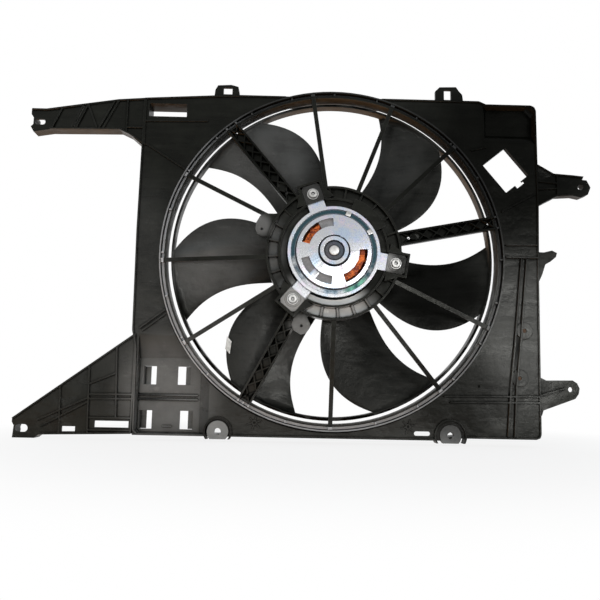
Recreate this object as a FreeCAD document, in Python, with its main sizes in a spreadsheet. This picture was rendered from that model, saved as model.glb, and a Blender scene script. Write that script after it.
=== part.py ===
import FreeCAD, Part
import math
import os

import Sketcher
from FreeCAD import Placement, Rotation, Vector

# Radiator cooling fan: a moulded shroud with a ring, twelve spokes and a motor carrier, a six
# bladed ring fan, and a brushed motor.
# The origin lies on the fan axis, in the plane that seals on the radiator. +Z is up, +X is to
# the right seen from the motor side, and the motor side faces -Y. A "rise" is a distance from
# the radiator face towards the motor side, so a point of rise 10 lies at y = -10.

SIZES = {
    # Shroud panel and its skirt
    "panel_rise": 31.0,
    "wall": 2.5,
    "panel_left": 232.0,
    "panel_right": 253.2,
    "panel_left_bulge": 5.0,
    "panel_right_lean": 4.6,
    "panel_step": 3.9,
    "panel_top": 204.2,
    "panel_top_left": 197.5,
    "panel_top_left_reach": 150.0,
    "panel_bottom": 214.0,
    "panel_bottom_right": 211.0,
    "panel_corner": 9.0,
    "lip_height": 1.6,
    # Ring round the fan
    "throat_radius": 197.0,
    "ring_radius": 205.4,
    "ring_wall": 2.2,
    "ring_rise": 45.0,
    "ring_floor_depth": 4.5,
    "ring_rib_width": 1.8,
    "ring_rib_count": 24,
    # Motor carrier
    "carrier_radius": 78.7,
    "carrier_wall": 2.4,
    "carrier_inner_radius": 64.4,
    "carrier_bore": 55.0,
    "carrier_rise": 67.0,
    "carrier_depth": 15.0,
    "carrier_floor_depth": 6.0,
    "carrier_ledge_depth": 6.5,
    "carrier_rib_count": 24,
    "carrier_rib_angle": 4.5,
    "carrier_rib_width": 2.0,
    # Spokes
    "spoke_width": 5.0,
    "spoke_flange": 1.8,
    "spoke_web": 2.0,
    "spoke_depth": 6.5,
    "girder_width": 16.0,
    "girder_rail": 2.2,
    "girder_floor": 1.8,
    "girder_cell": 17.0,
    "girder_bar": 1.6,
    "girder_hole_radius": 1.9,
    "spoke_1_angle": 13.0,
    "spoke_2_angle": 45.3,
    "spoke_2_offset": -6.9,
    "spoke_3_angle": 69.3,
    "spoke_4_angle": 97.6,
    "spoke_5_angle": 128.4,
    "spoke_6_angle": 151.6,
    "spoke_7_angle": 181.2,
    "spoke_7_offset": 5.4,
    "spoke_8_angle": 211.9,
    "spoke_9_angle": 241.2,
    "spoke_9_offset": -4.0,
    "spoke_10_angle": 269.3,
    "spoke_10_offset": 2.2,
    "spoke_11_angle": 310.0,
    "spoke_11_offset": -3.0,
    "spoke_12_angle": 336.4,
    "spoke_12_offset": -1.6,
    # Motor mounting points
    "mount_radius": 72.5,
    "mount_first_angle": 110.4,
    "mount_count": 3,
    "pad_width": 29.0,
    "pad_reach": 87.5,
    "pad_rise": 60.0,
    "pocket_width": 23.5,
    "pocket_reach": 84.8,
    "mount_boss_radius": 6.5,
    "mount_boss_depth": 15.0,
    "screw_radius": 2.5,
    "screw_gap": 0.1,
    "screw_head_radius": 5.4,
    "screw_head_height": 3.2,
    "screw_length": 18.0,
    "screw_drive_radius": 2.4,
    "sleeve_wall": 1.1,
    "grommet_radius": 9.6,
    "rubber_width": 22.4,
    "rubber_start": 62.8,
    "rubber_reach": 84.2,
    "grommet_height": 7.0,
    "grommet_groove_radius": 6.8,
    "lug_width": 20.0,
    "lug_sheet": 2.0,
    "lug_tip": 82.0,
    # Motor
    "can_radius": 50.0,
    "can_sheet": 2.0,
    "can_front_rise": 16.0,
    "can_rear_rise": 70.5,
    "can_rim_radius": 53.3,
    "can_rim_height": 2.2,
    "shield_seat_rise": 68.3,
    "shield_sheet": 1.8,
    "shield_disc_radius": 43.2,
    "shield_disc_height": 4.0,
    "shield_dome_height": 2.6,
    "shield_boss_radius": 17.2,
    "shield_boss_height": 2.6,
    "shield_slot_inner": 29.2,
    "shield_slot_outer": 38.6,
    "shield_slot_sweep": 73.0,
    "shield_slot_1_angle": 128.5,
    "shield_slot_2_angle": 230.0,
    "shield_slot_3_angle": 328.0,
    "bearing_radius": 9.0,
    "bearing_length": 9.0,
    "bearing_cup_wall": 1.6,
    "bearing_gap": 0.03,
    "cap_radius": 5.8,
    "cap_height": 1.4,
    "magnet_thickness": 6.0,
    "magnet_length": 29.0,
    "magnet_sweep": 72.0,
    "magnet_count": 4,
    "air_gap": 0.8,
    "core_length": 20.0,
    "core_slot_count": 12,
    "core_slot_width": 4.2,
    "core_slot_depth": 12.0,
    "core_tooth_tip": 2.0,
    "winding_overhang": 6.5,
    "winding_gap": 0.5,
    "winding_inner": 22.0,
    "commutator_radius": 12.5,
    "commutator_length": 11.0,
    "commutator_bars": 12,
    "brush_width": 8.0,
    "brush_height": 6.0,
    "brush_length": 13.0,
    "brush_gap": 0.3,
    "holder_wall": 1.0,
    "holder_length": 20.0,
    "brush_plate_sheet": 2.0,
    "brush_plate_room": 6.0,
    "brush_plate_bore": 15.5,
    "spring_radius": 2.0,
    "spring_wire": 0.6,
    # Shaft and fan fixing
    "shaft_radius": 4.0,
    "shaft_front_rise": 2.2,
    "hub_insert_radius": 9.0,
    "nut_across_flats": 13.0,
    "nut_height": 4.5,
    "washer_radius": 9.0,
    "washer_thickness": 1.2,
    # Fan
    "fan_radius": 192.5,
    "fan_ring_wall": 3.0,
    "fan_ring_rise": 36.5,
    "fan_ring_depth": 13.5,
    "fan_lip": 1.6,
    "hub_radius": 71.0,
    "hub_wall": 2.6,
    "hub_front_rise": 8.0,
    "hub_depth": 27.0,
    "hub_edge_round": 5.0,
    "hub_boss_radius": 14.0,
    "hub_boss_height": 7.5,
    "hub_rib_count": 12,
    "hub_rib_height": 3.0,
    "hub_rib_width": 1.8,
    "blade_thickness": 2.2,
    "blade_1_angle": 60.8,
    "blade_2_angle": 132.2,
    "blade_3_angle": 192.6,
    "blade_4_angle": 246.0,
    "blade_5_angle": 299.2,
    "blade_6_angle": 354.0,
    "blade_trailing_rise": 34.5,
    "blade_root_height": 23.0,
    "blade_tip_height": 9.5,
    "blade_camber": 0.07,
    "clip_length": 15.0,
    "clip_depth": 7.0,
    "clip_radius": 162.0,
    # Trays in two corners of the panel
    "tray_depth": 12.0,
    "low_tray_ramp": 12.0,
    "low_tray_right": 141.5,
    "low_tray_top": 98.0,
    "low_tray_floor_top": 124.0,
    "high_tray_left": 186.0,
    "high_tray_bottom": 150.0,
    "high_tray_ramp": 14.0,
    # Catch slots in the lower tray
    "catch_width": 15.0,
    "catch_height": 21.5,
    "catch_1_x": 214.0,
    "catch_2_x": 217.2,
    "catch_3_x": 173.6,
    "catch_4_x": 169.2,
    "catch_upper_z": 144.6,
    "catch_lower_z": 196.6,
    "catch_hook_drop": 11.0,
    # Tilted window
    "window_x": 213.5,
    "window_z": 115.6,
    "window_wide": 36.7,
    "window_tall": 44.4,
    "window_tilt": 39.4,
    "window_collar": 7.0,
    "window_notch_wide": 12.0,
    "window_notch_deep": 4.5,
    # Hose window at the upper left
    "hose_left": 229.0,
    "hose_right": 182.5,
    "hose_top": 190.7,
    "hose_bottom": 173.8,
    "hose_depth": 25.0,
    "hose_slit": 7.0,
    # Left arms
    "arm_depth": 16.0,
    "arm_rib_height": 2.0,
    "arm_rib_width": 1.8,
    "upper_arm_tip_x": 374.0,
    "upper_arm_tip_top": 180.0,
    "upper_arm_tip_bottom": 150.5,
    "upper_arm_root_bottom": 155.5,
    "upper_slot_x": 362.8,
    "upper_slot_z": 163.2,
    "upper_slot_length": 13.0,
    "upper_slot_width": 6.8,
    "lower_arm_tip_x": 369.0,
    "lower_arm_tip_top": 196.5,
    "lower_arm_root_top": 95.0,
    "lower_slot_x": 357.5,
    "lower_slot_z": 208.5,
    "lower_slot_length": 14.6,
    "lower_slot_width": 8.8,
    # Brackets on the right
    "hook_x": 305.8,
    "hook_z": 96.0,
    "hook_hole_radius": 3.5,
    "bracket_depth": 11.0,
    "tab_x": 284.9,
    "tab_z": 151.8,
    "tab_hole_radius": 3.1,
    "tab_sheet": 4.0,
    # Bosses and slot along the bottom
    "boss_right_x": 141.6,
    "boss_left_x": 130.3,
    "boss_z": 208.2,
    "boss_radius": 12.6,
    "boss_hole_radius": 3.9,
    "boss_height": 6.0,
    "boss_arch_gap": 4.5,
    "small_boss_radius": 9.6,
    "small_boss_height": 2.4,
    "small_boss_hole": 2.4,
    "trim_below_edge": 3.0,
    "rib_height": 3.4,
    "loop_sheet": 4.0,
    "mark_radius": 3.2,
    "mark_reach": 8.5,
    "mark_height": 1.0,
}


class Size:
    """A number together with the sheet expression that gives it."""

    def __init__(self, value, text):
        self.value = float(value)
        self.text = text

    @staticmethod
    def of(other):
        return other if isinstance(other, Size) else Size(other, repr(float(other)))

    def __add__(self, other):
        other = Size.of(other)
        return Size(self.value + other.value, "(%s + %s)" % (self.text, other.text))

    def __sub__(self, other):
        other = Size.of(other)
        return Size(self.value - other.value, "(%s - %s)" % (self.text, other.text))

    def __mul__(self, other):
        other = Size.of(other)
        return Size(self.value * other.value, "(%s * %s)" % (self.text, other.text))

    def __truediv__(self, other):
        other = Size.of(other)
        return Size(self.value / other.value, "(%s / %s)" % (self.text, other.text))

    def __radd__(self, other):
        return Size.of(other) + self

    def __rsub__(self, other):
        return Size.of(other) - self

    def __rmul__(self, other):
        return Size.of(other) * self

    def __neg__(self):
        return 0.0 - self


def make_sheet(doc):
    """Write every driving size to the spreadsheet and return them by name."""
    sheet = doc.addObject("Spreadsheet::Sheet", "Sizes")
    found = {}
    for row, (name, value) in enumerate(SIZES.items(), 1):
        sheet.set("A%d" % row, name)
        sheet.set("B%d" % row, str(value))
        sheet.setAlias("B%d" % row, name)
        found[name] = Size(value, "Sizes.%s" % name)
    doc.recompute()
    return found


doc = FreeCAD.newDocument("cooling_fan")
size = make_sheet(doc)


def polar(radius, angle):
    """The x and z of a point at a radius and an angle in degrees round the fan axis."""
    turn = math.radians(angle)
    return radius * math.cos(turn), radius * math.sin(turn)


def bind(thing, path, amount):
    """Tie one property to the sheet."""
    thing.setExpression(path, Size.of(amount).text)


def new_body(label):
    body = doc.addObject("PartDesign::Body", label)
    body.Label = label
    return body


def origin_plane(body, role):
    return [item for item in body.Origin.OriginFeatures if item.Role == role][0]


def face_sketch(body, name, rise):
    """A sketch seen from the motor side, at a rise above the radiator face."""
    made = body.newObject("Sketcher::SketchObject", name)
    made.AttachmentSupport = (origin_plane(body, "XZ_Plane"), [""])
    made.MapMode = "FlatFace"
    bind(made, "AttachmentOffset.Base.z", rise)
    return made


def turned_sketch(body, name, angle=0.0):
    """A sketch through the fan axis: its x is the radius and its y is minus the rise."""
    made = body.newObject("Sketcher::SketchObject", name)
    made.AttachmentSupport = (origin_plane(body, "XY_Plane"), [""])
    made.MapMode = "FlatFace"
    made.AttachmentOffset = Placement(Vector(), Rotation(Vector(0, -1, 0), 1))
    bind(made, "AttachmentOffset.Rotation.Angle", angle)
    return made


def outline(sketch, points):
    """A closed outline whose every corner is tied to the sheet."""
    points = [(Size.of(x), Size.of(y)) for x, y in points]
    first = sketch.GeometryCount
    count = len(points)
    for here, there in zip(points, points[1:] + points[:1]):
        start = Vector(here[0].value, here[1].value, 0)
        end = Vector(there[0].value, there[1].value, 0)
        sketch.addGeometry(Part.LineSegment(start, end), False)
    rules = []
    for step in range(count):
        rules.append(Sketcher.Constraint("Coincident", first + step, 2, first + (step + 1) % count, 1))
    sketch.addConstraint(rules)
    for step, (x, y) in enumerate(points):
        for kind, amount in (("DistanceX", x), ("DistanceY", y)):
            rule = Sketcher.Constraint(kind, -1, 1, first + step, 1, amount.value)
            number = sketch.addConstraint(rule)
            bind(sketch, "Constraints[%d]" % number, amount)


def circle(sketch, x, y, radius):
    x, y, radius = Size.of(x), Size.of(y), Size.of(radius)
    centre = Vector(x.value, y.value, 0)
    item = sketch.addGeometry(Part.Circle(centre, Vector(0, 0, 1), radius.value), False)
    rules = (("DistanceX", x), ("DistanceY", y))
    for kind, amount in rules:
        number = sketch.addConstraint(Sketcher.Constraint(kind, -1, 1, item, 3, amount.value))
        bind(sketch, "Constraints[%d]" % number, amount)
    number = sketch.addConstraint(Sketcher.Constraint("Radius", item, radius.value))
    bind(sketch, "Constraints[%d]" % number, radius)


def long_hole(sketch, x, y, length, width):
    """A slot with round ends along the sketch's x."""
    x, y, length, width = [Size.of(item) for item in (x, y, length, width)]
    radius = width / 2
    half = (length - width) / 2
    ends = []
    for side in (-1, 1):
        middle = Vector(x.value + side * half.value, y.value, 0)
        ring = Part.Circle(middle, Vector(0, 0, 1), radius.value)
        low = math.pi / 2 if side < 0 else -math.pi / 2
        ends.append(sketch.addGeometry(Part.ArcOfCircle(ring, low, low + math.pi), False))
    left, right = ends
    reach, tall = half.value, radius.value
    left_x, right_x = x.value - reach, x.value + reach
    low_y, high_y = y.value - tall, y.value + tall
    top = sketch.addGeometry(Part.LineSegment(Vector(right_x, high_y, 0), Vector(left_x, high_y, 0)), False)
    bottom = sketch.addGeometry(Part.LineSegment(Vector(left_x, low_y, 0), Vector(right_x, low_y, 0)), False)
    joins = ((right, 2, top, 1), (top, 2, left, 1), (left, 2, bottom, 1), (bottom, 2, right, 1))
    for one, one_end, two, two_end in joins:
        sketch.addConstraint(Sketcher.Constraint("Tangent", one, one_end, two, two_end))
    for item, sign in ((left, -1.0), (right, 1.0)):
        rules = (("DistanceX", x + sign * half), ("DistanceY", y))
        for kind, amount in rules:
            number = sketch.addConstraint(Sketcher.Constraint(kind, -1, 1, item, 3, amount.value))
            bind(sketch, "Constraints[%d]" % number, amount)
        number = sketch.addConstraint(Sketcher.Constraint("Radius", item, radius.value))
        bind(sketch, "Constraints[%d]" % number, radius)


def rectangle(x_low, x_high, y_low, y_high):
    return [(x_low, y_low), (x_high, y_low), (x_high, y_high), (x_low, y_high)]


def pad(body, sketch, length, midplane=False):
    """Pad a sketch towards the motor side, or both ways about its plane."""
    made = body.newObject("PartDesign::Pad", sketch.Name + "_pad")
    made.Profile = sketch
    if midplane:
        made.SideType = "Symmetric"
    bind(made, "Length", length)
    return made


def pocket(body, sketch, depth):
    """Cut a sketch towards the radiator side."""
    made = body.newObject("PartDesign::Pocket", sketch.Name + "_pocket")
    made.Profile = sketch
    bind(made, "Length", depth)
    return made


def turn(body, sketch, sweep=None, cut=False):
    """Revolve a sketch round the fan axis, all round or by a sweep about its plane."""
    kind = "PartDesign::Groove" if cut else "PartDesign::Revolution"
    made = body.newObject(kind, sketch.Name + "_turn")
    made.Profile = sketch
    made.ReferenceAxis = (sketch, ["V_Axis"])
    if sweep is None:
        made.Angle = 360
    else:
        made.Midplane = True
        bind(made, "Angle", sweep)
    return made


def around(body, features, sketch, count):
    """Repeat features evenly round the fan axis."""
    made = body.newObject("PartDesign::PolarPattern", features[0].Name + "_around")
    made.Originals = features
    made.Axis = (sketch, ["V_Axis"])
    made.Angle = 360
    bind(made, "Occurrences", count)
    body.Tip = made
    return made


def turned_body(label, points, sweep=None, angle=0.0):
    """A body turned round the fan axis from points of radius and rise."""
    body = new_body(label)
    sketch = turned_sketch(body, label + "_profile", angle)
    outline(sketch, [(radius, -Size.of(rise)) for radius, rise in points])
    turn(body, sketch, sweep)
    return body


def tube_points(inner, outer, low, high):
    return [(inner, low), (outer, low), (outer, high), (inner, high)]


def fuse(label, pieces):
    made = doc.addObject("Part::MultiFuse", label)
    made.Shapes = pieces
    made.Refine = True
    return made


def cut(label, base, tool):
    made = doc.addObject("Part::Cut", label)
    made.Base = base
    made.Tool = tool
    made.Refine = True
    return made


def group(label, pieces):
    """Identical pieces that share one node as separate solids."""
    made = doc.addObject("Part::Compound", label)
    made.Links = pieces
    return made


def strip(label, start, end, width, low, high):
    """A straight rib between two points seen from the motor side, from one rise to another."""
    run = Vector(end[0] - start[0], 0, end[1] - start[1])
    made = doc.addObject("Part::Box", label)
    made.Length = run.Length
    bind(made, "Width", Size.of(high) - low)
    bind(made, "Height", width)
    angle = math.degrees(math.atan2(run.z, run.x))
    spin = Rotation(Vector(0, -1, 0), angle)
    corner = Vector(start[0], -Size.of(high).value, start[1])
    made.Placement = Placement(corner - spin.multVec(Vector(0, 0, Size.of(width).value / 2)), spin)
    return made


def seat_at(piece, radius, angle, rise):
    """Stand a piece whose own axis is +Z at a point round the fan, facing the motor side."""
    x, z = polar(radius, angle)
    facing = Rotation(Vector(1, 0, 0), 90)
    piece.Placement = Placement(Vector(x, -rise, z), Rotation(Vector(0, -1, 0), angle) * facing)
    return piece


def plain_sketch(body, name, height=0.0):
    """A sketch on the piece's own base plane, for pieces that stand along their own +Z."""
    made = body.newObject("Sketcher::SketchObject", name)
    made.AttachmentSupport = (origin_plane(body, "XY_Plane"), [""])
    made.MapMode = "FlatFace"
    bind(made, "AttachmentOffset.Base.z", height)
    return made


def plain_turned(label, points):
    """A body turned round its own Z from points of radius and height."""
    body = new_body(label)
    sketch = body.newObject("Sketcher::SketchObject", label + "_profile")
    sketch.AttachmentSupport = (origin_plane(body, "XZ_Plane"), [""])
    sketch.MapMode = "FlatFace"
    outline(sketch, points)
    turn(body, sketch)
    return body


# Shroud: one moulding made of the forms below

def panel_outline():
    """The panel's corners seen from the motor side, counter-clockwise from the lower left."""
    left, right = -size["panel_left"], size["panel_right"]
    upper_left = left - size["panel_left_bulge"]
    low_right = right - size["panel_right_lean"]
    top, bottom = size["panel_top"], -size["panel_bottom_right"]
    side_top = top - size["panel_step"]
    return [
        (left + 2.5, -size["panel_bottom"] + 5.0),
        (left + 7.5, -size["panel_bottom"]),
        (size["boss_right_x"] - size["boss_radius"], -size["panel_bottom"]),
        (size["boss_right_x"] + size["boss_radius"], bottom),
        (low_right - 6.0, bottom),
        (low_right - 1.6, bottom + 1.6),
        (low_right, bottom + 6.0),
        (right - size["panel_right_lean"] / 2, -24.0),
        (right, 70.0),
        (right, side_top - 7.0),
        (right - 2.1, side_top - 2.1),
        (right - 7.0, side_top),
        (190.0, side_top),
        (181.5, top),
        (-118.0, top),
        (-size["panel_top_left_reach"], top - 1.4),
        (upper_left + 1.0, size["panel_top_left"]),
        (upper_left, 30.0),
        (upper_left + 1.4, -92.0),
        (left + 0.8, -112.0),
    ]


def inset(points, distance):
    """The corners of a counter-clockwise outline moved inwards by a distance."""
    flat = [(Size.of(x).value, Size.of(z).value) for x, z in points]
    moved = []
    for before, here, after in zip(flat[-1:] + flat[:-1], flat, flat[1:] + flat[:1]):
        first = Vector(before[1] - here[1], here[0] - before[0], 0).normalize()
        second = Vector(here[1] - after[1], after[0] - here[0], 0).normalize()
        share = distance / (1.0 + first.dot(second))
        moved.append((here[0] + (first.x + second.x) * share, here[1] + (first.y + second.y) * share))
    return moved


def make_panel():
    """The panel with its skirt, open towards the radiator, and the round opening for the ring."""
    body = new_body("panel_form")
    sketch = face_sketch(body, "panel_outline", 0.0)
    outline(sketch, panel_outline())
    block = pad(body, sketch, size["panel_rise"])
    doc.recompute()
    front = [
        "Face%d" % number
        for number, face in enumerate(block.Shape.Faces, 1)
        if face.BoundBox.YLength < 0.01 and abs(face.BoundBox.YMax) < 0.01
    ]
    shell = body.newObject("PartDesign::Thickness", "panel_shell")
    shell.Base = (block, front)
    shell.Reversed = True
    bind(shell, "Value", size["wall"])
    opening = face_sketch(body, "panel_opening", size["panel_rise"])
    circle(opening, 0.0, 0.0, size["ring_radius"] - size["ring_wall"] / 2)
    pocket(body, opening, size["wall"])
    return body


def make_ring():
    """The ring: two walls joined by a floor, with cross ribs in its rear channel."""
    inner, outer = size["throat_radius"], size["ring_radius"]
    wall = size["ring_wall"]
    rear, front = size["ring_rise"], size["panel_rise"] - size["wall"]
    floor = rear - size["ring_floor_depth"]
    body = new_body("ring_form")
    sketch = turned_sketch(body, "ring_profile")
    points = [
        (inner, front), (inner, rear), (inner + wall, rear), (inner + wall, floor),
        (outer - wall, floor), (outer - wall, rear), (outer, rear), (outer, front),
        (outer - wall, front), (outer - wall, floor - wall), (inner + wall, floor - wall),
        (inner + wall, front),
    ]
    outline(sketch, [(radius, -rise) for radius, rise in points])
    turn(body, sketch)
    half = size["ring_rib_width"] / 2
    rib = face_sketch(body, "ring_rib", floor)
    outline(rib, rectangle(inner + wall / 2, outer - wall / 2, -half, half))
    rib_pad = pad(body, rib, size["ring_floor_depth"] - 0.6)
    around(body, [rib_pad], sketch, size["ring_rib_count"])
    return body


def make_carrier():
    """The motor carrier: two walls, the floor between them, a ledge inside and cell ribs."""
    outer, wall = size["carrier_radius"], size["carrier_wall"]
    inner, bore = size["carrier_inner_radius"], size["carrier_bore"]
    rear = size["carrier_rise"]
    front = rear - size["carrier_depth"]
    floor = rear - size["carrier_floor_depth"]
    ledge = rear - size["carrier_ledge_depth"]
    body = new_body("carrier_form")
    sketch = turned_sketch(body, "carrier_profile")
    points = [
        (bore, ledge - wall), (inner - wall, ledge - wall), (inner - wall, front), (inner, front),
        (inner, floor - wall), (outer - wall, floor - wall), (outer - wall, front), (outer, front),
        (outer, rear), (outer - wall, rear), (outer - wall, floor), (inner, floor),
        (inner, rear), (inner - wall, rear), (inner - wall, ledge), (bore, ledge),
    ]
    outline(sketch, [(radius, -rise) for radius, rise in points])
    turn(body, sketch)
    half = size["carrier_rib_width"] / 2
    rib = turned_sketch(body, "carrier_rib", size["carrier_rib_angle"])
    outline(rib, rectangle(inner - wall / 2, outer - wall / 2, -rear + 1.0, -floor))
    rib_pad = pad(body, rib, half * 2, True)
    around(body, [rib_pad], sketch, size["carrier_rib_count"])
    return body


def make_pads():
    """The three box pads that carry the motor, and the pockets cut into the carrier for its lugs."""
    pads, pockets = [], []
    rear, low = size["carrier_rise"], size["carrier_rise"] - size["carrier_depth"]
    half, inner_half = size["pad_width"] / 2, size["pocket_width"] / 2
    start = size["carrier_inner_radius"] - size["carrier_wall"] / 2
    for number in range(int(SIZES["mount_count"])):
        angle = SIZES["mount_first_angle"] + number * 360.0 / SIZES["mount_count"]
        spin = Placement(Vector(), Rotation(Vector(0, -1, 0), angle))
        body = new_body("pad_form_%d" % (number + 1))
        sketch = face_sketch(body, "pad_outline_%d" % (number + 1), low)
        splay = size["pad_width"] * 0.28
        outline(sketch, [
            (start, -half - splay), (size["carrier_radius"], -half), (size["pad_reach"], -half),
            (size["pad_reach"], half), (size["carrier_radius"], half), (start, half + splay),
        ])
        pad(body, sketch, rear - low)
        boss = face_sketch(body, "pad_boss_%d" % (number + 1), size["pad_rise"] - size["mount_boss_depth"])
        circle(boss, size["mount_radius"], 0.0, size["mount_boss_radius"])
        pad(body, boss, size["mount_boss_depth"])
        body.Placement = spin
        pads.append(body)
        room = new_body("pad_room_%d" % (number + 1))
        sketch = face_sketch(room, "room_outline_%d" % (number + 1), size["pad_rise"])
        outline(sketch, rectangle(size["can_radius"] - 1.0, size["pocket_reach"], -inner_half, inner_half))
        pad(room, sketch, rear - size["pad_rise"] + 2.0)
        hole_top = size["pad_rise"] - size["mount_boss_depth"] + 2.0
        hole = face_sketch(room, "room_hole_%d" % (number + 1), hole_top)
        circle(hole, size["mount_radius"], 0.0, size["screw_radius"] + size["screw_gap"])
        pad(room, hole, size["mount_boss_depth"])
        room.Placement = spin
        pockets.append(room)
    return pads, pockets


def spoke_frame(angle, offset):
    """Where a spoke starts on the carrier, its slope down to the ring, and its length."""
    start, end = SIZES["carrier_radius"] - 1.2, SIZES["ring_radius"] - 1.0
    drop = SIZES["carrier_rise"] - 0.6 - SIZES["ring_rise"]
    near = math.sqrt(start ** 2 - offset ** 2)
    far = math.sqrt(end ** 2 - offset ** 2)
    run = far - near
    slope = math.degrees(math.atan2(drop, run))
    turned = Rotation(Vector(0, -1, 0), angle)
    base = turned.multVec(Vector(near, 0, offset))
    base.y = -(SIZES["carrier_rise"] - 0.6)
    rear_up = Rotation(Vector(1, 0, 0), 90)
    tilt = Rotation(Vector(0, 0, 1), slope)
    return Placement(base, turned * tilt * rear_up), math.hypot(run, drop)


def section_sketch(body, name, start=0.0):
    """A cross-section sketch: its x lies across the piece and its y along the piece's own +Z."""
    made = body.newObject("Sketcher::SketchObject", name)
    made.AttachmentSupport = (origin_plane(body, "YZ_Plane"), [""])
    made.MapMode = "FlatFace"
    bind(made, "AttachmentOffset.Base.z", start)
    return made


def make_thin_spoke(number, angle, offset):
    """A T-section spoke with its flange on the motor side."""
    frame, length = spoke_frame(angle, offset)
    body = new_body("spoke_form_%d" % number)
    sketch = section_sketch(body, "spoke_section_%d" % number)
    half, web = size["spoke_width"] / 2, size["spoke_web"] / 2
    flange, depth = size["spoke_flange"], size["spoke_depth"]
    outline(sketch, [
        (-half, 0.0), (-half, -flange), (-web, -flange), (-web, -depth),
        (web, -depth), (web, -flange), (half, -flange), (half, 0.0),
    ])
    pad(body, sketch, length)
    body.Placement = frame
    return body


def make_girder(number, angle, offset):
    """A wide U-section spoke with crossed bars between its rails and a hole near each end."""
    frame, length = spoke_frame(angle, offset)
    body = new_body("spoke_form_%d" % number)
    half, rail = size["girder_width"] / 2, size["girder_rail"]
    floor, depth = size["girder_floor"], size["spoke_depth"]
    sketch = section_sketch(body, "spoke_section_%d" % number)
    outline(sketch, [
        (-half, 0.0), (-half, -depth), (half, -depth), (half, 0.0), (half - rail, 0.0),
        (half - rail, floor - depth), (rail - half, floor - depth), (rail - half, 0.0),
    ])
    pad(body, sketch, length)
    bars = []
    cell, bar = size["girder_cell"], size["girder_bar"]
    reach = half - rail / 2
    for side in (-1.0, 1.0):
        lattice = plain_sketch(body, "lattice_%d_%s" % (number, "a" if side < 0 else "b"), floor - depth)
        outline(lattice, [
            (4.0, reach * side), (4.0 + bar * 1.4, reach * side),
            (4.0 + bar * 1.4 + cell, reach * -side), (4.0 + cell, reach * -side),
        ])
        bars.append(pad(body, lattice, depth - floor - 0.8))
    repeat = body.newObject("PartDesign::LinearPattern", "lattice_%d_along" % number)
    repeat.Originals = bars
    repeat.Direction = (bars[0].Profile[0], ["H_Axis"])
    count = int((length - 8.0) // SIZES["girder_cell"])
    repeat.Length = SIZES["girder_cell"] * (count - 1)
    repeat.Occurrences = count
    body.Tip = repeat
    holes = plain_sketch(body, "spoke_holes_%d" % number, 0.0)
    circle(holes, cell * 0.5 + 4.0 + bar * 0.7, 0.0, size["girder_hole_radius"])
    circle(holes, cell * (count - 0.5) + 4.0 + bar * 0.7, 0.0, size["girder_hole_radius"])
    pocket(body, holes, depth + 1.0)
    body.Placement = frame
    return body


def make_spokes():
    girders = (1, 5, 9)
    spokes = []
    for number in range(1, 13):
        angle = SIZES["spoke_%d_angle" % number]
        offset = SIZES.get("spoke_%d_offset" % number, 0.0)
        maker = make_girder if number in girders else make_thin_spoke
        spokes.append(maker(number, angle, offset))
    return spokes


def loft_pair(body, name, lower, upper, low_rise, high_rise, cut_out=False):
    """A loft between two outlines at two rises, added or cut away."""
    sections = []
    for tag, points, rise in (("low", lower, low_rise), ("high", upper, high_rise)):
        sketch = face_sketch(body, "%s_%s" % (name, tag), rise)
        outline(sketch, points)
        sections.append(sketch)
    kind = "PartDesign::SubtractiveLoft" if cut_out else "PartDesign::AdditiveLoft"
    made = body.newObject(kind, name + "_loft")
    made.Profile = sections[0]
    made.Sections = [sections[1]]
    made.Ruled = True
    return made


def make_low_tray():
    """The sunk tray in the lower left corner, with slanted upper and right walls."""
    wall, deep, ramp = size["wall"], size["tray_depth"], size["low_tray_ramp"]
    left, bottom = -size["panel_left"] + 2.5, -size["panel_bottom"]
    right, top = -size["low_tray_right"], -size["low_tray_top"]
    rear = size["panel_rise"]
    floor_top = -size["low_tray_floor_top"]
    body = new_body("low_tray_form")
    loft_pair(
        body, "low_tray_outside",
        rectangle(left, right - ramp + wall, bottom, floor_top + wall),
        rectangle(left, right + wall, bottom, top + wall),
        rear - deep - wall, rear,
    )
    loft_pair(
        body, "low_tray_inside",
        rectangle(left + wall, right - ramp, bottom + wall, floor_top),
        rectangle(left + wall, right, bottom + wall, top),
        rear - deep, rear, True,
    )
    ring_room = face_sketch(body, "low_tray_ring_room", rear)
    circle(ring_room, 0.0, 0.0, size["ring_radius"] - size["ring_wall"] / 2)
    pocket(body, ring_room, rear)
    return body


def make_low_tray_ring_wall():
    """The ring's outer wall runs on forward where the tray meets it."""
    rear, outer = size["panel_rise"], size["ring_radius"]
    low = rear - size["tray_depth"] - size["wall"]
    points = tube_points(outer - size["ring_wall"], outer, low, rear)
    return turned_body("low_tray_ring_wall", points, 24.0, 213.0)


def make_high_tray():
    """The sunk tray in the upper right corner, with slanted left and lower walls."""
    wall, deep, ramp = size["wall"], size["tray_depth"], size["high_tray_ramp"]
    left, bottom = size["high_tray_left"], size["high_tray_bottom"]
    right, top = size["panel_right"], size["panel_top"] - size["panel_step"]
    corner = size["panel_corner"]
    rear = size["panel_rise"]

    def cornered(x_low, z_low, grow):
        edge, roof = right - wall + grow, top - wall + grow
        return [(x_low, z_low), (edge, z_low), (edge, roof - corner), (edge - corner, roof), (x_low, roof)]

    body = new_body("high_tray_form")
    loft_pair(
        body, "high_tray_outside",
        cornered(left + ramp / 2 - wall, bottom + ramp - wall, wall),
        cornered(left - wall, bottom - wall, wall),
        rear - deep - wall, rear,
    )
    loft_pair(
        body, "high_tray_inside",
        cornered(left + ramp / 2, bottom + ramp, 0.0 * wall),
        cornered(left, bottom, 0.0 * wall),
        rear - deep, rear, True,
    )
    return body


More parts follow.
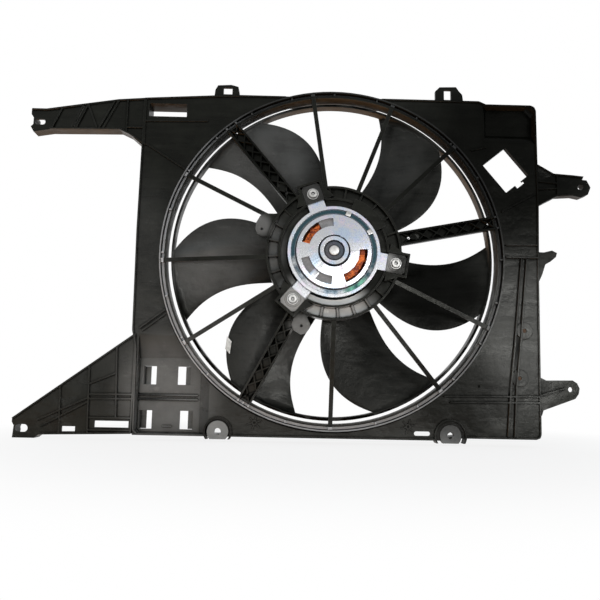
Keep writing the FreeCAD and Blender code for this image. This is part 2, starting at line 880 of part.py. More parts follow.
def tray_rooms():
    """What the two trays take out of the flat panel."""
    wall = size["wall"]
    rear = size["panel_rise"]
    body = new_body("low_tray_room")
    sketch = face_sketch(body, "low_tray_room_outline", rear - wall - 1.0)
    low_left, low_right = wall - size["panel_left"] + 2.5, -size["low_tray_right"]
    outline(sketch, rectangle(low_left, low_right, wall - size["panel_bottom"], -size["low_tray_top"]))
    pad(body, sketch, wall + 2.0)
    other = new_body("high_tray_room")
    sketch = face_sketch(other, "high_tray_room_outline", rear - wall - 1.0)
    corner = size["panel_corner"]
    edge, roof = size["panel_right"] - wall, size["panel_top"] - size["panel_step"] - wall
    left, bottom = size["high_tray_left"], size["high_tray_bottom"]
    corners = [(left, bottom), (edge, bottom), (edge, roof - corner), (edge - corner, roof), (left, roof)]
    outline(sketch, corners)
    pad(other, sketch, wall + 2.0)
    return [body, other]


def catch_places():
    """The place of each catch slot: its number, its middle, and the side that its hook covers."""
    for number in (1, 2, 3, 4):
        z = -size["catch_upper_z"] if number % 2 else -size["catch_lower_z"]
        yield number, -size["catch_%d_x" % number], z, -1.0 if number < 3 else 1.0


def make_catches():
    """Four slots in the lower tray, each with a hook that covers its outer half further forward."""
    rooms, hooks = [], []
    floor = size["panel_rise"] - size["tray_depth"]
    half_wide, half_tall = size["catch_width"] / 2, size["catch_height"] / 2
    wall = size["wall"] - 0.7
    for number, x, z, outward in catch_places():
        room = new_body("catch_room_%d" % number)
        sketch = face_sketch(room, "catch_room_outline_%d" % number, floor - size["wall"] - 1.0)
        outline(sketch, rectangle(x - half_wide, x + half_wide, z - half_tall, z + half_tall))
        pad(room, sketch, size["wall"] + 2.0)
        rooms.append(room)
        hook = new_body("catch_hook_%d" % number)
        sketch = section_sketch_across(hook, "catch_hook_section_%d" % number, z)
        edge = x + outward * half_wide
        tip = floor - size["catch_hook_drop"]
        outline(sketch, [
            (edge + outward * wall, -floor + size["wall"] * 0.5), (edge, -floor + size["wall"] * 0.5),
            (edge, -tip - wall), (x + outward * 0.8, -tip - wall), (x + outward * 0.8, -tip),
            (edge + outward * wall, -tip),
        ])
        pad(hook, sketch, size["catch_height"], True)
        hooks.append(hook)
    return rooms, hooks


def section_sketch_across(body, name, height):
    """A level sketch at a height: its x is x and its y is y."""
    made = body.newObject("Sketcher::SketchObject", name)
    made.AttachmentSupport = (origin_plane(body, "XY_Plane"), [""])
    made.MapMode = "FlatFace"
    bind(made, "AttachmentOffset.Base.z", height)
    return made


def tilted_box(label, wide, tall, low, high, shift_x=0.0, shift_z=0.0):
    """A box square to the tilted window, placed from the window's centre."""
    made = doc.addObject("Part::Box", label)
    wide, tall = Size.of(wide), Size.of(tall)
    bind(made, "Length", wide)
    bind(made, "Width", Size.of(high) - low)
    bind(made, "Height", tall)
    spin = Rotation(Vector(0, -1, 0), SIZES["window_tilt"])
    centre = Vector(SIZES["window_x"], -Size.of(high).value, SIZES["window_z"])
    local = Vector(Size.of(shift_x).value - wide.value / 2, 0, Size.of(shift_z).value - tall.value / 2)
    made.Placement = Placement(centre + spin.multVec(local), spin)
    return made


def make_window():
    """The tilted window with its forward collar and the notch in its lower edge."""
    rear = size["panel_rise"]
    front = rear - size["window_collar"]
    wide, tall, wall = size["window_wide"], size["window_tall"], size["wall"] * 0.8
    collar = tilted_box("window_collar_form", wide + wall * 2, tall + wall * 2, front, rear - 0.5)
    room = tilted_box("window_room", wide, tall, front - 1.0, rear + 1.0)
    notch = tilted_box(
        "window_notch_room", size["window_notch_wide"], size["window_notch_deep"] * 2,
        front - 1.0, rear + 1.0, wide * 0.06, tall / -2,
    )
    return [collar], [room, notch]


def make_hose_window():
    """A deep square recess whose far end is closed but for a slit under its roof."""
    rear, wall = size["panel_rise"], size["wall"]
    deep = rear - size["hose_depth"]
    left, right = -size["hose_left"], -size["hose_right"]
    bottom, top = size["hose_bottom"], size["hose_top"]
    body = new_body("hose_box_form")
    sketch = face_sketch(body, "hose_box_outline", deep)
    outline(sketch, rectangle(left - wall, right + wall, bottom - wall, top + wall))
    pad(body, sketch, size["hose_depth"])
    room = new_body("hose_room")
    sketch = face_sketch(room, "hose_room_outline", deep + wall)
    outline(sketch, rectangle(left, right, bottom, top))
    pad(room, sketch, size["hose_depth"])
    slit = face_sketch(room, "hose_slit_outline", deep - 1.0)
    outline(slit, rectangle(left, right, top - size["hose_slit"], top))
    pad(room, slit, wall + 2.0)
    return [body], [room]


def channel_arm(label, points):
    """An arm with a closed rear face and open towards the radiator."""
    body = new_body(label)
    rear = size["panel_rise"] - 0.5
    sketch = face_sketch(body, label + "_outline", rear - size["arm_depth"])
    outline(sketch, points)
    block = pad(body, sketch, size["arm_depth"])
    doc.recompute()
    level = -(rear - size["arm_depth"]).value
    front = [
        "Face%d" % number
        for number, face in enumerate(block.Shape.Faces, 1)
        if face.BoundBox.YLength < 0.01 and abs(face.BoundBox.YMax - level) < 0.01
    ]
    shell = body.newObject("PartDesign::Thickness", label + "_shell")
    shell.Base = (block, front)
    shell.Reversed = True
    bind(shell, "Value", size["wall"])
    return body


def make_upper_arm():
    left = -size["upper_arm_tip_x"]
    root = -size["panel_left"] - size["panel_left_bulge"] + size["wall"]
    points = [
        (left + 4.0, size["upper_arm_tip_bottom"]),
        (left + 24.0, size["upper_arm_root_bottom"] - 1.5),
        (-264.0, size["upper_arm_root_bottom"]),
        (-251.0, size["upper_arm_root_bottom"] - 6.0),
        (root, size["upper_arm_root_bottom"] - 20.0),
        (root, size["panel_top_left"]),
        (-267.0, size["upper_arm_tip_top"] + 14.5),
        (-331.0, size["upper_arm_tip_top"] + 4.0),
        (left + 18.0, size["upper_arm_tip_top"]),
        (left, size["upper_arm_tip_top"]),
        (left, size["upper_arm_tip_top"] - 7.0),
        (left + 3.0, size["upper_slot_z"] + 5.5),
        (left + 3.0, size["upper_slot_z"] - 3.0),
        (left, size["upper_slot_z"] - 6.0),
    ]
    return channel_arm("upper_arm_form", points)


def make_lower_arm():
    left = -size["lower_arm_tip_x"]
    root = -size["panel_left"] + size["wall"] * 2
    points = [
        (left + 1.5, -219.5),
        (left + 27.0, -219.5),
        (left + 32.0, -215.5),
        (root, -size["panel_bottom"] + 1.5),
        (root, -size["lower_arm_root_top"]),
        (left, -size["lower_arm_tip_top"]),
        (left, -size["lower_arm_tip_top"] - 5.0),
        (left + 2.5, -size["lower_arm_tip_top"] - 9.0),
    ]
    return channel_arm("lower_arm_form", points)


def arm_rooms():
    """The slots and windows through the two left arms."""
    rear, low = size["panel_rise"], size["panel_rise"] - size["arm_depth"] - 1.5
    body = new_body("arm_rooms")
    sketch = face_sketch(body, "upper_slot", low)
    long_hole(
        sketch, -size["upper_slot_x"], size["upper_slot_z"],
        size["upper_slot_length"], size["upper_slot_width"],
    )
    pad(body, sketch, size["arm_depth"] + 4.0)
    other = new_body("lower_arm_rooms")
    sketch = face_sketch(other, "lower_slot", low)
    long_hole(
        sketch, -size["lower_slot_x"], -size["lower_slot_z"],
        size["lower_slot_length"], size["lower_slot_width"],
    )
    pad(other, sketch, size["arm_depth"] + 4.0)
    windows = new_body("arm_window_rooms")
    sketch = face_sketch(windows, "arm_window", rear - size["wall"] - 2.0)
    outline(sketch, rectangle(-273.5, -234.0, -206.0, -198.5))
    pad(windows, sketch, size["wall"] + 6.0)
    small = new_body("arm_small_window_room")
    sketch = face_sketch(small, "arm_small_window", rear - size["wall"] - 2.0)
    outline(sketch, rectangle(-311.0, -295.5, -211.5, -205.5))
    pad(small, sketch, size["wall"] + 6.0)
    return [body, other, windows, small]


def boss_ring(label, x, z, hole, outer, low, high):
    """A round boss and the hole through it."""
    body = new_body(label)
    sketch = face_sketch(body, label + "_outline", low)
    circle(sketch, x, z, outer)
    pad(body, sketch, Size.of(high) - low)
    room = new_body(label + "_room")
    sketch = face_sketch(room, label + "_hole", Size.of(low) - 1.0)
    circle(sketch, x, z, hole)
    pad(room, sketch, Size.of(high) - low + 2.0)
    return body, room


def arm_ribs():
    """Low ribs on the rear faces of the two arms and along their edges."""
    rear = size["panel_rise"] - 0.5
    low, high = rear - 0.6, rear + size["arm_rib_height"]
    wide = size["arm_rib_width"]
    top_edge = [(-373.0, 179.0), (-355.0, 179.0), (-331.0, 183.0), (-267.0, 193.5), (-231.0, 196.4)]
    low_edge = [(-350.0, 155.0), (-264.0, 156.5), (-251.5, 150.4), (-231.0, 136.6)]
    zigzag = [
        ((-347.5, 155.5), (-335.8, 181.5)), ((-323.5, 156.0), (-310.5, 185.5)),
        ((-318.0, 156.0), (-305.0, 186.5)),
        ((-289.5, 157.0), (-272.0, 192.0)), ((-284.5, 157.0), (-267.0, 192.5)),
        ((-304.0, 186.0), (-292.5, 157.0)),
        ((-256.0, 153.5), (-256.0, 194.0)), ((-256.0, 159.0), (-232.0, 159.0)),
    ]
    slope = [(-368.0, -197.4), (-231.0, -96.5)]
    foot = [(-336.0, -214.6), (-231.0, -212.0)]
    posts = [
        ((-315.5, -159.5), (-313.5, -214.0)), ((-283.0, -135.5), (-281.0, -212.8)),
        ((-252.0, -112.5), (-249.0, -195.0)), ((-231.0, -98.0), (-231.0, -212.0)),
    ]
    rails = [
        ((-281.0, -168.0), (-229.0, -167.6)), ((-281.0, -173.2), (-229.0, -172.6)),
        ((-340.0, -199.0), (-281.0, -171.5)), ((-335.0, -206.0), (-281.0, -176.0)),
        ((-283.0, -156.6), (-251.0, -143.0)),
    ]
    frame = [((-280.0, -195.0), (-231.0, -195.0)), ((-280.0, -209.0), (-231.0, -209.0))]
    lines = zigzag + posts + rails + frame
    for chain in (top_edge, low_edge, slope, foot):
        lines += list(zip(chain, chain[1:]))
    return [
        strip("arm_rib_%d" % number, start, end, wide, low, high)
        for number, (start, end) in enumerate(lines, 1)
    ]


def panel_ribs():
    """The long double ribs on the panel's rear face, and the lip that edges it."""
    rear = size["panel_rise"]
    low, high = rear - 0.6, rear + size["lip_height"]
    wide = size["arm_rib_width"]
    tall = rear + size["rib_height"]
    lines = [
        ((236.0, 3.7), (226.4, -96.0)), ((229.6, 3.7), (219.6, -96.0)),
        ((226.4, -96.0), (220.0, -150.0)), ((219.6, -96.0), (213.2, -150.0)),
        ((220.0, -150.0), (216.6, -208.0)), ((213.2, -150.0), (208.6, -208.0)),
        ((134.0, -162.5), (247.5, -161.0)), ((141.0, -169.5), (247.5, -168.0)),
        ((211.0, 20.5), (250.0, 21.5)), ((211.0, 5.6), (250.0, 5.6)),
    ]
    folds = [
        ((-226.8, -89.5), (-196.5, -66.0)), ((-223.5, -92.5), (-195.5, -71.0)),
        ((-230.5, 138.0), (-181.0, 106.5)), ((207.0, 62.5), (249.5, 86.0)),
        ((170.0, 139.5), (190.0, 144.5)),
        ((-233.0, 167.6), (-156.0, 169.2)), ((-233.5, 137.5), (-233.5, 196.0)),
    ]
    edge = SIZES["wall"] / 2
    rim = inset(panel_outline(), edge)
    top, bottom, low_right = SIZES["panel_top"] - edge, edge - SIZES["panel_bottom"], rim[4][1]
    chains = [
        [(-60.0, top)] + rim[14:] + rim[:2] + [(-SIZES["boss_left_x"] - 15.0, bottom)],
        [(SIZES["boss_right_x"] + 17.0, low_right)] + rim[4:14] + [(60.0, top)],
        [(-SIZES["boss_left_x"] + 15.0, bottom), (SIZES["boss_right_x"] - 17.0, bottom)],
    ]
    edges = []
    for chain in chains:
        edges += list(zip(chain, chain[1:]))
    floor = rear - size["tray_depth"]
    tray = [((-228.0, -167.6), (-156.0, -167.6)), ((-228.0, -172.6), (-156.0, -172.6))]
    dash = [((-197.0, -204.0), (-186.0, -204.0))]
    made = []
    for name, group_lines, start_rise, end_rise in (
        ("panel_rib", lines, low, tall), ("panel_fold", folds, low, high), ("panel_rim", edges, low, high),
        ("tray_rib", tray, floor - 0.6, floor + size["rib_height"]),
        ("tray_dash", dash, floor - 0.6, floor + 1.2),
    ):
        for number, (start, end) in enumerate(group_lines, 1):
            made.append(strip("%s_%d" % (name, number), start, end, wide, start_rise, end_rise))
    return made


def make_brackets():
    """The hook bracket, the finger and the tab on the right edge, and the two loops on top."""
    forms, rooms = [], []
    rear = size["panel_rise"]
    root = size["panel_right"] - size["wall"]
    body = new_body("hook_bracket_form")
    sketch = face_sketch(body, "hook_bracket_outline", rear - size["bracket_depth"])
    x, z = size["hook_x"], size["hook_z"]
    outline(sketch, [
        (root, z + 28.5), (x - 33.0, z + 16.5), (x - 9.0, z + 15.0), (x + 4.5, z + 14.0),
        (x + 2.5, z + 9.6),
        (x + 8.0, z + 9.0), (x + 12.5, z), (x + 9.0, z - 9.0), (x, z - 13.0), (x - 10.0, z - 11.0),
        (x - 30.0, z - 12.4), (root, z - 26.0),
    ])
    pad(body, sketch, size["bracket_depth"])
    forms.append(body)
    room = new_body("hook_room")
    sketch = face_sketch(room, "hook_hole", rear - size["bracket_depth"] - 1.0)
    circle(sketch, x, z, size["hook_hole_radius"])
    pad(room, sketch, size["bracket_depth"] + 2.0)
    rooms.append(room)
    body = new_body("tab_form")
    sketch = face_sketch(body, "tab_outline", rear - size["tab_sheet"])
    x, z = size["tab_x"], -size["tab_z"]
    low_root = root - size["panel_right_lean"]
    outline(sketch, [
        (low_root, z + 14.0), (x - 34.6, z + 13.0), (x - 29.0, z + 10.2), (x + 2.6, z + 10.8),
        (x + 7.8, z + 7.6),
        (x + 10.6, z + 1.5), (x + 9.4, z - 5.0), (x + 5.2, z - 10.8), (x - 33.0, z - 25.0),
        (x - 35.0, z - 31.0),
        (low_root, z - 32.0),
    ])
    pad(body, sketch, size["tab_sheet"])
    forms.append(body)
    room = new_body("tab_room")
    sketch = face_sketch(room, "tab_hole", rear - size["tab_sheet"] - 1.0)
    circle(sketch, x, z, size["tab_hole_radius"])
    pad(room, sketch, size["tab_sheet"] + 2.0)
    rooms.append(room)
    body = new_body("finger_form")
    sketch = face_sketch(body, "finger_outline", rear - size["bracket_depth"])
    outline(sketch, [
        (root - 2.0, 13.3), (258.0, 13.0), (268.0, 15.6), (274.0, 12.6), (272.6, 7.6), (265.7, 1.8),
        (259.3, -2.0), (255.0, -15.0), (250.6, -24.0), (root - 2.0, -24.0),
    ])
    pad(body, sketch, size["bracket_depth"])
    forms.append(body)
    base = size["panel_top"] - size["wall"]
    thick = size["loop_sheet"]
    loops = {
        "left_loop": [
            (-149.2, base), (-148.3, 210.6), (-145.0, 216.6), (-128.4, 217.6), (-119.6, 215.2),
            (-118.0, 208.0),
            (-117.6, base),
        ],
        "right_loop": [
            (127.0, base), (127.0, 216.0), (132.5, 221.6), (153.3, 222.3), (156.8, 217.0),
            (161.0, 212.2), (162.2, base),
        ],
    }
    windows = {"left_loop": (-137.9, -127.0, 214.0), "right_loop": (138.0, 146.8, 218.2)}
    for name, corners in loops.items():
        body = new_body(name + "_form")
        sketch = face_sketch(body, name + "_outline", rear - thick)
        outline(sketch, corners)
        pad(body, sketch, thick)
        forms.append(body)
        low_x, high_x, high_z = windows[name]
        room = new_body(name + "_room")
        sketch = face_sketch(room, name + "_hole", rear - thick - 1.0)
        outline(sketch, rectangle(low_x, high_x, size["panel_top"] + 0.9, high_z))
        pad(room, sketch, thick + 2.0)
        rooms.append(room)
    x, z = SIZES["hook_x"], SIZES["hook_z"]
    ridges = [
        ((252.5, z + 26.6), (x - 33.5, z + 15.2)), ((x - 33.5, z + 15.2), (x - 9.0, z + 13.6)),
        ((x - 9.0, z + 13.6), (x + 1.0, z + 12.6)), ((252.5, z - 23.6), (x - 30.0, z - 11.0)),
        ((x - 30.0, z - 11.0), (x - 10.0, z - 9.8)), ((x - 29.0, z + 14.6), (x - 29.0, z - 11.0)),
        ((252.5, z + 6.0), (x - 29.0, z + 4.0)), ((252.5, z - 4.0), (x - 29.0, z - 2.5)),
        ((248.0, -159.5), (278.0, -150.5)),
    ]
    for number, (start, end) in enumerate(ridges, 1):
        wide, high = size["arm_rib_width"], rear + size["arm_rib_height"]
        forms.append(strip("bracket_ridge_%d" % number, start, end, wide, rear - 0.5, high))
    return forms, rooms


def make_bottom_bosses():
    """The two round bosses on the bottom edge, each under an arched wall, and the small bosses."""
    forms, rooms = [], []
    rear = size["panel_rise"]
    low = rear - size["boss_height"]
    gap, wall = size["boss_arch_gap"], size["wall"] * 0.8
    for name, x in (("left_boss", -size["boss_left_x"]), ("right_boss", size["boss_right_x"])):
        z = -size["boss_z"]
        form, room = boss_ring(name, x, z, size["boss_hole_radius"], size["boss_radius"], low, rear + 0.8)
        forms.append(form)
        rooms.append(room)
        arch = new_body(name + "_arch")
        sketch = face_sketch(arch, name + "_arch_outline", low - 6.0)
        room_round = gap if name == "right_boss" else gap * 0.45
        circle(sketch, x, z, size["boss_radius"] + room_round + wall)
        circle(sketch, x, z, size["boss_radius"] + room_round)
        pad(arch, sketch, size["boss_height"] + 6.0 + size["lip_height"])
        forms.append(arch)
    for name, x, z in (("rib_boss_1", 230.8, -83.4), ("rib_boss_2", 223.8, -139.8)):
        form, room = boss_ring(
            name, x, z, size["small_boss_hole"], size["small_boss_radius"],
            rear - size["wall"], rear + size["small_boss_height"],
        )
        forms.append(form)
        rooms.append(room)
    room = new_body("bottom_slot_room")
    sketch = face_sketch(room, "bottom_slot", rear - size["wall"] - 1.0)
    long_hole(sketch, 108.3, -206.3, 19.0, 5.0)
    pad(room, sketch, size["wall"] + 2.0)
    rooms.append(room)
    room = new_body("pin_hole_room")
    sketch = face_sketch(room, "pin_hole", rear - size["wall"] * 0.6)
    circle(sketch, 176.0, -150.2, 1.5)
    pad(room, sketch, size["wall"])
    rooms.append(room)
    return forms, rooms


def make_marks():
    """Two star-shaped raised marks above the bottom edge."""
    forms = []
    low, high = size["panel_rise"] - 0.5, size["panel_rise"] + size["mark_height"]
    for number, (x, z) in enumerate(((91.8, -198.7), (-87.8, -197.2)), 1):
        body = new_body("star_mark_%d" % number)
        sketch = face_sketch(body, "star_mark_outline_%d" % number, low)
        circle(sketch, x, z, size["mark_radius"])
        circle(sketch, x, z, size["mark_radius"] * 0.45)
        pad(body, sketch, high - low)
        forms.append(body)
        for arm in range(6):
            near = polar(SIZES["mark_radius"] - 0.3, arm * 60.0 + 15.0)
            far = polar(SIZES["mark_reach"], arm * 60.0 + 15.0)
            start, end = (x + near[0], z + near[1]), (x + far[0], z + far[1])
            forms.append(strip("star_arm_%d_%d" % (number, arm + 1), start, end, Size.of(1.2), low, high))
    return forms


def trim_below():
    """What lies past the panel's bottom edge under the arches."""
    body = new_body("bottom_trim")
    sketch = face_sketch(body, "bottom_trim_outline", -1.0)
    floor = -size["panel_bottom"] - size["trim_below_edge"]
    outline(sketch, rectangle(-160.0, 175.0, floor - 30.0, floor))
    pad(body, sketch, size["ring_rise"])
    return body


def harness_tabs():
    """Two flat ears on the carrier that a cable clip snaps into."""
    forms, rooms = [], []
    top = size["carrier_rise"] - 1.6
    ears = {
        "harness_tab_1": [
            (-73.5, 17.4), (-62.0, 45.0), (-70.0, 44.2), (-80.6, 44.2), (-86.0, 41.4),
            (-90.6, 33.0), (-91.2, 25.6),
            (-88.9, 20.2), (-84.0, 17.2),
        ],
        "harness_tab_2": [
            (-40.4, -65.6), (-47.2, -84.6), (-45.0, -91.0), (-36.6, -96.0), (-30.4, -94.4), (-26.0, -88.2),
            (-26.0, -83.0), (-29.4, -76.6), (-27.0, -72.4),
        ],
    }
    holes = {"harness_tab_1": (-83.8, 25.7), "harness_tab_2": (-35.7, -86.1)}
    for name, corners in ears.items():
        body = new_body(name)
        sketch = face_sketch(body, name + "_outline", top - 2.4)
        outline(sketch, corners)
        pad(body, sketch, 2.4)
        forms.append(body)
        room = new_body(name + "_room")
        sketch = face_sketch(room, name + "_hole", top - 3.4)
        circle(sketch, holes[name][0], holes[name][1], 1.7)
        pad(room, sketch, 4.4)
        rooms.append(room)
    return forms, rooms


def make_shroud():
    pads, pad_rooms = make_pads()
    catch_rooms, catch_hooks = make_catches()
    window_forms, window_rooms = make_window()
    hose_forms, hose_rooms = make_hose_window()
    bracket_forms, bracket_rooms = make_brackets()
    boss_forms, boss_rooms = make_bottom_bosses()
    tab_forms, tab_rooms = harness_tabs()
    flat = cut("panel_with_trays", make_panel(), fuse("tray_rooms", tray_rooms()))
    forms = [flat, make_ring(), make_carrier()]
    forms += [make_low_tray(), make_low_tray_ring_wall(), make_high_tray()]
    forms += [make_upper_arm(), make_lower_arm()]
    forms += pads + make_spokes() + window_forms + hose_forms
    forms += bracket_forms + boss_forms + tab_forms
    forms += catch_hooks + arm_ribs() + panel_ribs() + make_marks()
    rooms = pad_rooms + catch_rooms + window_rooms + hose_rooms + bracket_rooms + boss_rooms + tab_rooms
    rooms += arm_rooms() + [trim_below()]
    return cut("shroud", fuse("shroud_forms", forms), fuse("shroud_rooms", rooms))


# Motor housing

def make_motor_can():
    """The drawn steel cup that holds the magnets, open at the rear with a rolled rim."""
    outer, sheet = size["can_radius"], size["can_sheet"]
    front, rear = size["can_front_rise"], size["can_rear_rise"]
    rim, tall = size["can_rim_radius"], size["can_rim_height"]
    bore = size["bearing_radius"] + size["bearing_gap"]
    nose = size["bearing_radius"] + size["bearing_cup_wall"]
    back = front + sheet
    depth = size["bearing_length"]
    return turned_body("motor_can", [
        (bore, front - 4.0), (nose, front - 4.0), (nose, front), (outer - 6.0, front), (outer, front + 6.0),
        (outer, rear - tall), (rim, rear - tall), (rim, rear), (outer - sheet + 1.8, rear),
        (outer - sheet + 1.8, size["shield_seat_rise"] - size["shield_sheet"]),
        (outer - sheet, size["shield_seat_rise"] - size["shield_sheet"]),
        (outer - sheet, back + 5.2), (outer - 6.8, back), (nose, back), (nose, front - 4.0 + depth + 1.0),
        (bore, front - 4.0 + depth + 1.0),
    ])


def make_end_shield():
    """The rear end plate: a raised disc with a bearing boss and three curved windows."""
    seat, sheet = size["shield_seat_rise"], size["shield_sheet"]
    disc, dome = size["shield_disc_radius"], size["shield_dome_height"]
    edge = seat + size["shield_disc_height"]
    boss, high = size["shield_boss_radius"], size["shield_boss_height"]
    top = edge + dome
    rim = size["can_radius"] - size["can_sheet"] + 1.8 - 0.05
    bore = size["bearing_radius"] + size["bearing_gap"]
    body = new_body("end_shield")
    sketch = turned_sketch(body, "end_shield_profile")
    mouth = size["cap_radius"] + 0.4
    points = [
        (rim, seat - sheet), (rim, seat), (disc + 1.4, seat), (disc, edge), (boss + 1.4, top),
        (boss + 1.0, top - 1.2),
        (boss, top - 1.2), (boss - 0.6, top + high), (12.0, top + high), (10.8, top + high - 2.2),
        (mouth, top + high - 2.2), (mouth, top + high - 3.6), (bore, top + high - 3.6),
        (bore, top + high - 3.6 - size["bearing_length"]),
        (bore + size["bearing_cup_wall"], top + high - 3.6 - size["bearing_length"]),
        (bore + size["bearing_cup_wall"], top - 3.2), (boss + 1.8, top - 3.2), (disc - sheet, edge - sheet),
        (disc - 0.6, seat - sheet),
    ]
    outline(sketch, [(radius, -rise) for radius, rise in points])
    turn(body, sketch)
    inner, outer = size["shield_slot_inner"], size["shield_slot_outer"]
    for number in (1, 2, 3):
        slot = turned_sketch(body, "end_shield_slot_%d" % number, size["shield_slot_%d_angle" % number])
        outline(slot, rectangle(inner, outer, -top - high, -seat + sheet + 4.0))
        turn(body, slot, size["shield_slot_sweep"], True)
    return body


def make_lugs():
    """Three pressed steel ears that are welded to the can and sit on the rubber mounts."""
    lugs = []
    rise = size["pad_rise"] + (size["grommet_height"] - size["lug_sheet"]) / 2
    half = size["lug_width"] / 2
    for number in range(int(SIZES["mount_count"])):
        angle = SIZES["mount_first_angle"] + number * 360.0 / SIZES["mount_count"]
        body = new_body("motor_lug_%d" % (number + 1))
        sketch = face_sketch(body, "lug_outline_%d" % (number + 1), rise)
        tip = size["lug_tip"]
        outline(sketch, [
            (size["can_radius"] - 2.0, -half), (tip - 4.0, -half), (tip, -half + 4.0), (tip, half - 4.0),
            (tip - 4.0, half), (size["can_radius"] - 2.0, half),
        ])
        pad(body, sketch, size["lug_sheet"])
        hole = face_sketch(body, "lug_hole_%d" % (number + 1), rise + size["lug_sheet"])
        circle(hole, size["mount_radius"], 0.0, size["grommet_groove_radius"] + 0.1)
        pocket(body, hole, size["lug_sheet"])
        room = face_sketch(body, "lug_can_room_%d" % (number + 1), rise + size["lug_sheet"])
        circle(room, 0.0, 0.0, size["can_radius"] + 0.05)
        pocket(body, room, size["lug_sheet"])
        body.Placement = Placement(Vector(), Rotation(Vector(0, -1, 0), angle))
        lugs.append(body)
    return group("motor_lugs", lugs)


def mount_angles():
    count = int(SIZES["mount_count"])
    return [SIZES["mount_first_angle"] + number * 360.0 / count for number in range(count)]


def make_grommets():
    """Rubber rings that sit in the ears' holes and on the carrier's pads."""
    rings = []
    inner = size["screw_radius"] + size["screw_gap"] + size["sleeve_wall"] + 0.1
    high, outer = size["grommet_height"], size["grommet_radius"]
    groove = size["grommet_groove_radius"]
    low_lip = (high - size["lug_sheet"]) / 2 - 0.1
    high_lip = (high + size["lug_sheet"]) / 2 + 0.1
    for number, angle in enumerate(mount_angles(), 1):
        ring = plain_turned("grommet_%d" % number, [
            (inner, 0.0), (outer, 0.0), (outer, low_lip), (groove, low_lip), (groove, high_lip),
            (outer, high_lip), (outer - 0.8, high), (inner, high),
        ])
        seat_at(ring, SIZES["mount_radius"], angle, SIZES["pad_rise"])
        block = new_body("rubber_block_%d" % number)
        sketch = face_sketch(block, "rubber_block_outline_%d" % number, size["pad_rise"] + high_lip)
        half = size["rubber_width"] / 2
        near, far = size["rubber_start"], size["rubber_reach"]
        outline(sketch, [
            (near, -half), (far - 3.0, -half), (far, -half + 3.0), (far, half - 3.0),
            (far - 3.0, half), (near, half),
        ])
        circle(sketch, size["mount_radius"], 0.0, outer - 2.0)
        pad(block, sketch, high - high_lip - 0.5)
        block.Placement = Placement(Vector(), Rotation(Vector(0, -1, 0), angle))
        rings.append(fuse("rubber_mount_%d" % number, [ring, block]))
    return group("mount_grommets", rings)


def make_sleeves():
    """Steel tubes inside the rubber rings that the screws clamp on."""
    tubes = []
    inner = size["screw_radius"] + size["screw_gap"]
    for number, angle in enumerate(mount_angles(), 1):
        points = tube_points(inner, inner + size["sleeve_wall"], 0.0, size["grommet_height"] + 0.2)
        tube = plain_turned("sleeve_%d" % number, points)
        tubes.append(seat_at(tube, SIZES["mount_radius"], angle, SIZES["pad_rise"]))
    return group("spacer_sleeves", tubes)


def make_screws():
    """Flanged screws with a recessed drive."""
    screws = []
    for number, angle in enumerate(mount_angles(), 1):
        shank, head = size["screw_radius"], size["screw_head_radius"]
        tall = size["screw_head_height"]
        screw = plain_turned("motor_screw_%d" % number, [
            (0.0, 1.2 - size["screw_length"]), (shank - 0.8, 0.0 - size["screw_length"]),
            (shank, 0.8 - size["screw_length"]), (shank, 0.0), (head + 1.2, 0.0), (head + 1.2, 0.9),
            (head - 0.4, 0.9), (head - 0.4, tall - 0.5), (head - 1.0, tall), (0.0, tall),
        ])
        drive = plain_sketch(screw, "screw_drive_%d" % number, tall)
        corners = []
        for step in range(6):
            x, y = polar(1.0, 60.0 * step)
            corners.append((size["screw_drive_radius"] * x, size["screw_drive_radius"] * y))
        outline(drive, corners)
        pocket(screw, drive, tall * 0.6)
        level = SIZES["pad_rise"] + SIZES["grommet_height"] + 0.2
        screws.append(seat_at(screw, SIZES["mount_radius"], angle, level))
    return group("motor_screws", screws)


def make_bearings():
    """Sintered sleeve bearings, one in each end of the motor."""
    inner = size["shaft_radius"] + size["bearing_gap"]
    outer, length = size["bearing_radius"], size["bearing_length"]
    front = size["can_front_rise"] - 4.0 + 0.5
    rear = cap_base() - length
    one = turned_body("front_bearing", tube_points(inner, outer, front, front + length - 0.5))
    two = turned_body("rear_bearing", tube_points(inner, outer, rear, rear + length - 0.1))
    return [one, two]


def cap_base():
    """Where the cap sits, on the rear bearing's end."""
    top = size["shield_seat_rise"] + size["shield_disc_height"] + size["shield_dome_height"]
    return top + size["shield_boss_height"] - 3.6


def make_bearing_cap():
    """The small bright cap over the rear bearing."""
    base = cap_base()
    radius, high = size["cap_radius"], size["cap_height"]
    return turned_body("bearing_cap", [
        (0.0, base + 0.6), (radius - 1.0, base + 0.6), (radius - 1.0, base), (radius + 0.3, base),
        (radius + 0.3, base + 1.0), (radius, base + high + 1.2), (radius - 1.0, base + high + 2.0),
        (0.0, base + high + 2.4),
    ])


def make_magnets():
    """Curved magnets bonded to the can's wall."""
    outer = size["can_radius"] - size["can_sheet"] - 0.05
    inner = outer - size["magnet_thickness"]
    low = core_low() + size["core_length"] / 2 - size["magnet_length"] / 2
    magnets = []
    for number in range(int(SIZES["magnet_count"])):
        angle = 45.0 + number * 360.0 / SIZES["magnet_count"]
        points = tube_points(inner, outer, low, low + size["magnet_length"])
        magnets.append(turned_body("magnet_%d" % (number + 1), points, size["magnet_sweep"], angle))
    return group("magnets", magnets)


def core_radius():
    return size["can_radius"] - size["can_sheet"] - 0.05 - size["magnet_thickness"] - size["air_gap"]


def plate_rise():
    return size["can_front_rise"] + size["can_sheet"] + size["brush_plate_room"]


def brush_rise():
    """The rise of the brushes' middle, on holders that stand on the plate."""
    return plate_rise() + size["brush_plate_sheet"] + size["holder_wall"] + size["brush_height"] / 2


